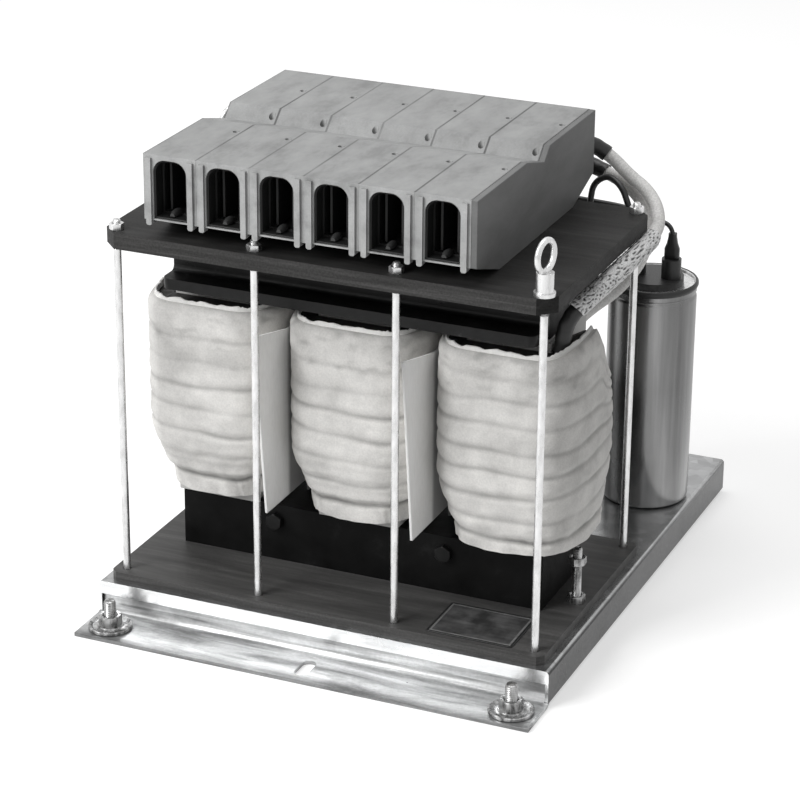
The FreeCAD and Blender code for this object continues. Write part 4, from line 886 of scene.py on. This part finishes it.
def make_liners():
    foot, rim, front_depth, rear_depth = OPENING_FOOT, 1.6, 72, 50
    liners, guides = Shape(), Shape()
    for name in TERMINALS:
        low, high = node_box(name)
        x = node_middle(name)[0]
        for mouth, inner in ((low[Y] + rim, low[Y] + front_depth), (high[Y] - rim, high[Y] - rear_depth)):
            inwards = 1 if inner > mouth else -1
            rows = [mouth_outline(x, y, foot, shrink) for shrink, y in (
                (0.1, inner), (0.1, mouth + 1.2 * inwards), (0.6, mouth + 0.8 * inwards),
                (1.1, mouth + 1.4 * inwards), (1.2, mouth + 10 * inwards), (1.9, mouth + 11 * inwards),
                (1.9, inner - 0.6 * inwards))]
            # Rows that run backwards are turned round, so that the faces still look outwards
            liners.cap(liners.rings([row[::inwards] for row in rows])[-1])
            for rib_x in (x - 5.2, x + 5.2):
                front, rear = mouth + 12 * inwards, inner - inwards
                liners.solid([[(rib_x - 0.7, front, level), (rib_x + 0.7, front, level),
                               (rib_x + 1.0, rear, level), (rib_x - 1.0, rear, level)]
                              for level in np.linspace(foot + 3, foot + OPENING_HEIGHT - 5, 6)])
            humps = []
            for share in np.linspace(0, 1, 9):
                swell = 0.8 * math.sin(math.pi * (0.12 + 0.88 * share)) ** 0.6
                angles = [math.pi * step / 12 for step in range(13)]
                row = [(x + 3.4 * swell * math.cos(angle), mouth + (2.5 + 13 * share) * inwards,
                        foot + 2.0 + 4.2 * swell * math.sin(angle)) for angle in angles]
                humps.append(row[::inwards])
            guides.solid(humps)
    make_piece("terminal_liners", liners, "terminal_inside", angle=30)
    make_piece("terminal_wire_guides", guides, "wire_guide", angle=50)


# Capacitors: cans with a groove and a crimped rim, and boots on the blades
CAN_RADIUS = 29.0
# Profile of the can: inset from its radius and height above its foot, then inset and depth below its top
CAN_FOOT = ((28.99, 0.2), (3.2, 0.05), (1.6, 0.5), (0.5, 1.6), (0, 3.2), (0, 40), (0, 80))
CAN_RIM = ((0, 11), (0.3, 10), (1.0, 9.2), (1.1, 8.4), (0.5, 7.5), (0, 6.6), (0, 4.4), (-0.6, 3.6), (-1, 2.6),
           (-0.9, 1.2), (-0.3, 0.3), (0.4, 0), (1.1, 0.4), (1.5, 1.4), (1.9, 2.6), (3.0, 3.0), (4.8, 2.8),
           (5.4, 3.0), (28.99, 3.0))
# The steps of the profile at which the rim's black band and the lid's metal start
BLACK_BAND_STEP, LID_STEP = 13, 19
# Rings of a boot: height above the lid, half width and half depth
BOOT = ((-8, 4.6, 2.3), (-7.2, 5.0, 2.7), (-1, 5.0, 2.7), (2.5, 3.6, 2.6), (7, 2.7, 2.6), (9.5, 2.6, 2.6))


def squarish(centre, level, half_x, half_y):
    """A ring between an ellipse and an oblong."""
    row = []
    for step in range(24):
        angle = 2 * math.pi * step / 24
        across, through = [math.copysign(abs(part) ** 0.6, part)
                           for part in (math.cos(angle), math.sin(angle))]
        row.append((centre[0] + half_x * across, centre[1] + half_y * through, level))
    return row


def make_capacitors():
    nuts = Shape()
    nut_low, nut_high = node_box("capacitor_nuts")
    foot = 24.0
    for side in SIDES:
        low, high = node_box("capacitor_" + side)
        centre = node_middle("capacitor_" + side)
        profile = [(CAN_RADIUS - inset, foot + height) for inset, height in CAN_FOOT]
        profile += [(CAN_RADIUS - inset, high[Z] - depth) for inset, depth in CAN_RIM]
        can = Shape()
        numbers = [can.ring(row) for row in placed(lathe(profile, 96), (*centre, 0))]
        for step, (first, second) in enumerate(zip(numbers, numbers[1:])):
            can.bridge(first, second, (step >= BLACK_BAND_STEP) + (step >= LID_STEP))
        can.cap(numbers[0], 0, False)
        can.cap(numbers[-1], 2)
        can.solid(placed(thread_rows(12, low[Z], foot, 1.5, 32), (*centre, 0)))
        make_piece("capacitor_%s_can" % side, can, "can black_plastic zinc", "capacitor_" + side, angle=50)
        lid_top = node_box("capacitor_lid_" + side)[1][Z]
        boots = Shape()
        for x in (centre[0] - 12, centre[0] + 12):
            boots.solid([squarish((x, centre[1]), lid_top + height, half_x, half_y)
                         for height, half_x, half_y in BOOT])
        make_piece("capacitor_%s_boots" % side, boots, "black_plastic", angle=50)
        nuts.rings(placed(nut_rows(17, 12.1, nut_high[Z] - nut_low[Z]), (*centre, nut_low[Z])))
    make_piece("capacitor_nuts_chamfered", nuts, "zinc", "capacitor_nuts")


# Tubes along smooth routes
def smooth_path(points, resolution):
    """Points read from a NURBS spline that has the route's points as its control points."""
    data = bpy.data.curves.new("route", "CURVE")
    data.dimensions = "3D"
    spline = data.splines.new("NURBS")
    spline.points.add(len(points) - 1)
    for mark, point in zip(spline.points, points):
        mark.co = (*point, 1.0)
    spline.order_u = 3
    spline.use_endpoint_u = True
    spline.resolution_u = resolution
    thing = bpy.data.objects.new("route", data)
    mesh = bpy.data.meshes.new_from_object(thing)
    path = [vertex.co.copy() for vertex in mesh.vertices]
    bpy.data.meshes.remove(mesh)
    bpy.data.objects.remove(thing)
    bpy.data.curves.remove(data)
    return path


def tube_rows(path, radius, count, relief=None):
    """Rings round a path. relief gives the height of the surface at (turn, distance)."""
    rows = []
    side = None
    travelled = 0.0
    for number, point in enumerate(path):
        after = path[min(number + 1, len(path) - 1)]
        before = path[max(number - 1, 0)]
        ahead = (after - before).normalized()
        if number:
            travelled += (point - path[number - 1]).length
        if side is None:
            side = ahead.orthogonal().normalized()
        side = (side - ahead * side.dot(ahead)).normalized()
        other = ahead.cross(side)
        row = []
        for step in range(count):
            turn = 2 * math.pi * step / count
            reach = radius + (relief(turn, travelled) if relief else 0.0)
            row.append(point + (side * math.cos(turn) + other * math.sin(turn)) * reach)
        rows.append(row)
    return rows


# Leads that pass the upper right corner, along the routes that the CAD source gives them
CORNER_ROUTES = {
    5: ((112, -26.5, 192), (112, -6.5, 192), (124, 12.5, 200), (138, 18.5, 222), (137, 29.5, 241),
        (127, 42.5, 251), (112, 52.5, 257), (95, 58.5, 261), (72, 58.5, 269), (52.25, 51.5, 279.45),
        (40.25, 32.5, 286.45), (40.25, 3, 289.45)),
    6: ((131, -108, 203), (131, -108, 214), (134, -104, 224), (140, -96, 232), (148, -70, 239.95),
        (148, 12.5, 239.95), (144, 25.5, 250.95), (133, 35.5, 259.95), (118, 43.5, 264.95),
        (103, 50.5, 273.95), (88.75, 45.5, 283.45), (79.75, 30.5, 285.45), (79.75, 3, 289.45)),
}
# Where each of them leaves its black collar, along X
COLLAR_ENDS = {5: 98, 6: 101}
LEAD_RADIUS = 4.25
INSIDE_LEAD = LEAD_RADIUS - 0.3


def stretch_between(path, wanted):
    """The points of a path from the first to the last for which wanted(point) is true."""
    inside = [number for number, point in enumerate(path) if wanted(point)]
    return path[inside[0]:inside[-1] + 1]


def woven(turn, distance):
    over, under = math.sin(7 * turn + distance * 2.2), math.sin(7 * turn - distance * 2.2)
    return 0.10 * max(over, under) - 0.10


def make_jacket(name, path, radius, flare=0.0):
    """A close black sleeve of heat shrink round part of a lead, with rounded ends."""
    def swell(turn, distance):
        return flare * math.exp(-distance / 2.5) + 0.12 * math.sin(distance * 0.9) * math.cos(turn * 2)

    inner = tube_rows(path, INSIDE_LEAD, 28)
    shape = Shape()
    shape.rings([inner[0]] + tube_rows(path, radius, 28, swell) + [inner[-1]])
    make_piece(name, shape, "black_wire", angle=50)


def make_sleeve(path):
    """A speckled braid of crossing strands round the lead, cut square at both ends."""
    radius, strands, lay, count = LEAD_RADIUS + 1.9, 20, 0.8, 96
    threads = []

    def braid(turn, distance):
        over = math.sin(strands / 2 * turn + distance * lay * 2)
        under = math.sin(strands / 2 * turn - distance * lay * 2)
        level = max(over, under) * 0.5 + 0.5
        pick = 1.3 * noise.noise(Vector((math.cos(turn) * 5, math.sin(turn) * 5, distance * 0.8)))
        level = max(0.0, min(1.0, level * 0.6 + pick + 0.25))
        threads.append(level)
        return 0.8 * (level - 1)

    shape = Shape()
    numbers = shape.rings(tube_rows(path, radius, count, braid))
    inner = tube_rows(path, INSIDE_LEAD, count)
    shape.bridge(shape.ring(inner[0]), numbers[0])
    shape.bridge(numbers[-1], shape.ring(inner[-1]))
    threads += [0.3] * (len(shape.points) - len(threads))
    piece = make_piece("sleeve_braided", shape, "braid", "braided_sleeve", angle=80)
    store(piece, "thread", threads)


def make_corner_leads():
    sleeve_foot = node_box("braided_sleeve")[0][Z]
    paths = {number: smooth_path(route, 22) for number, route in CORNER_ROUTES.items()}
    for number, path in paths.items():
        shape = Shape()
        shape.solid(tube_rows(path, LEAD_RADIUS, 40, woven))
        make_piece("lead_%d_woven" % number, shape, "white_sleeving", "lead_%d" % number, angle=60)
        end = COLLAR_ENDS[number]
        collar = stretch_between(path, lambda point: point.z > 255 and end - 17 < point.x < end)
        make_jacket("lead_%d_collar" % number, collar, LEAD_RADIUS + 0.9)
    # A black jacket on lead 6 below the sleeve: a dark piece that stands in for the shade there
    cover = stretch_between(paths[6], lambda point: point.z < sleeve_foot + 9 and point.y < -90)
    make_jacket("lead_6_cover", cover, LEAD_RADIUS + 0.7, 1.2)
    make_sleeve(stretch_between(
        paths[6], lambda point: point.z > sleeve_foot + 4.5 and point.y < 3 and point.x > 130))


def make_rating_plate():
    low, high = node_box("rating_plate")
    shape = Shape()
    top = high[Z] - 0.05

    def frame_row(inset, level):
        """An oblong with rounded corners."""
        radius = max(0.4, 1.8 - inset)
        left, right = low[X] + inset + radius, high[X] - inset - radius
        front, rear = low[Y] + inset + radius, high[Y] - inset - radius
        points = []
        for x, y, start in ((right, rear, 0), (left, rear, 90), (left, front, 180), (right, front, 270)):
            for step in range(5):
                angle = math.radians(start + 90 * step / 4)
                points.append((x + radius * math.cos(angle), y + radius * math.sin(angle), level))
        return points

    # A dark edge, a raised pale line and the bare field
    numbers = [shape.ring(frame_row(inset, level)) for inset, level in (
        (0, low[Z]), (0, top - 0.2), (0.2, top), (1.6, top), (1.7, high[Z]), (2.8, high[Z]), (2.9, top),
        (9, top - 0.03))]
    for kind, first, second in zip((2, 2, 2, 1, 1, 1, 0), numbers, numbers[1:]):
        shape.bridge(first, second, kind)
    shape.cap(numbers[0], 2, False)
    shape.cap(numbers[-1])
    make_piece("rating_plate_blank", shape, "plate plate_border black_plastic", "rating_plate", angle=30)


make_tie_rods()
make_tie_rod_nuts()
make_foot_hardware()
make_earth_terminal()
make_yoke_bolts()
make_coil("left", 3)
make_coil("middle", 8)
make_coil("right", 14, peaked=True)
make_liners()
make_capacitors()
make_corner_leads()
make_rating_plate()


# Floor, light and camera
FLOOR_GREY, FLOOR_GLOW, AMBIENT = 0.66, 0.50, 0.32


def seen_directly(tree, strength):
    """A strength for camera, mirror and see-through rays only."""
    rays = tree.nodes.new("ShaderNodeLightPath").outputs
    direct = maths(tree, "MAXIMUM", rays["Is Camera Ray"], rays["Is Glossy Ray"])
    direct = maths(tree, "MAXIMUM", direct, rays["Is Transmission Ray"])
    return maths(tree, "MULTIPLY", direct, strength)


def make_floor():
    reach = 6.0
    mesh = bpy.data.meshes.new("floor")
    mesh.from_pydata([(-reach, -reach, 0), (reach, -reach, 0), (reach, reach, 0), (-reach, reach, 0)],
                     [], [(0, 1, 2, 3)])
    floor = bpy.data.objects.new("floor", mesh)
    floor.location.z = -0.0002
    bpy.context.scene.collection.objects.link(floor)
    material = bpy.data.materials.new("floor")
    material.use_nodes = True
    tree = material.node_tree
    tree.nodes.clear()
    matte = tree.nodes.new("ShaderNodeBsdfDiffuse")
    matte.inputs["Color"].default_value = (FLOOR_GREY, FLOOR_GREY, FLOOR_GREY, 1)
    glow = tree.nodes.new("ShaderNodeEmission")
    feed(glow.inputs["Strength"], seen_directly(tree, FLOOR_GLOW))
    total = tree.nodes.new("ShaderNodeAddShader")
    feed(total.inputs[0], matte.outputs[0])
    feed(total.inputs[1], glow.outputs[0])
    feed(tree.nodes.new("ShaderNodeOutputMaterial").inputs["Surface"], total.outputs[0])
    mesh.materials.append(material)


def make_world():
    world = bpy.data.worlds.new("studio")
    world.use_nodes = True
    bpy.context.scene.world = world
    tree = world.node_tree
    background = tree.nodes["Background"]
    background.inputs["Color"].default_value = (1, 1, 1, 1)
    feed(background.inputs["Strength"], maths(tree, "ADD", seen_directly(tree, 1 - AMBIENT), AMBIENT))


def make_lamp(name, place, target, size, power):
    data = bpy.data.lights.new(name, "AREA")
    data.size = size
    data.energy = power
    lamp = bpy.data.objects.new(name, data)
    lamp.location = place
    lamp.rotation_euler = (Vector(target) - Vector(place)).to_track_quat("-Z", "Y").to_euler()
    bpy.context.scene.collection.objects.link(lamp)


def make_camera():
    data = bpy.data.cameras.new("camera")
    data.lens = 130.8
    data.clip_start = 0.05
    data.clip_end = 50
    camera = bpy.data.objects.new("camera", data)
    place = Vector((0.6733, -1.6195, 0.8350))
    target = Vector((0.0080, -0.0648, 0.1340))
    turn = (target - place).to_track_quat("-Z", "Y").to_matrix().to_4x4()
    roll = Matrix.Rotation(math.radians(0.47), 4, "Z")
    camera.matrix_world = Matrix.Translation(place) @ turn @ roll
    bpy.context.scene.collection.objects.link(camera)
    bpy.context.scene.camera = camera


make_floor()
make_world()
make_lamp("key", (-1.5, -2.0, 1.9), (0, 0, 0.12), 1.5, 72)
make_lamp("top", (-0.2, 0.2, 2.4), (0, 0, 0.1), 1.4, 22)
make_camera()
bpy.context.scene.view_settings.view_transform = "Standard"
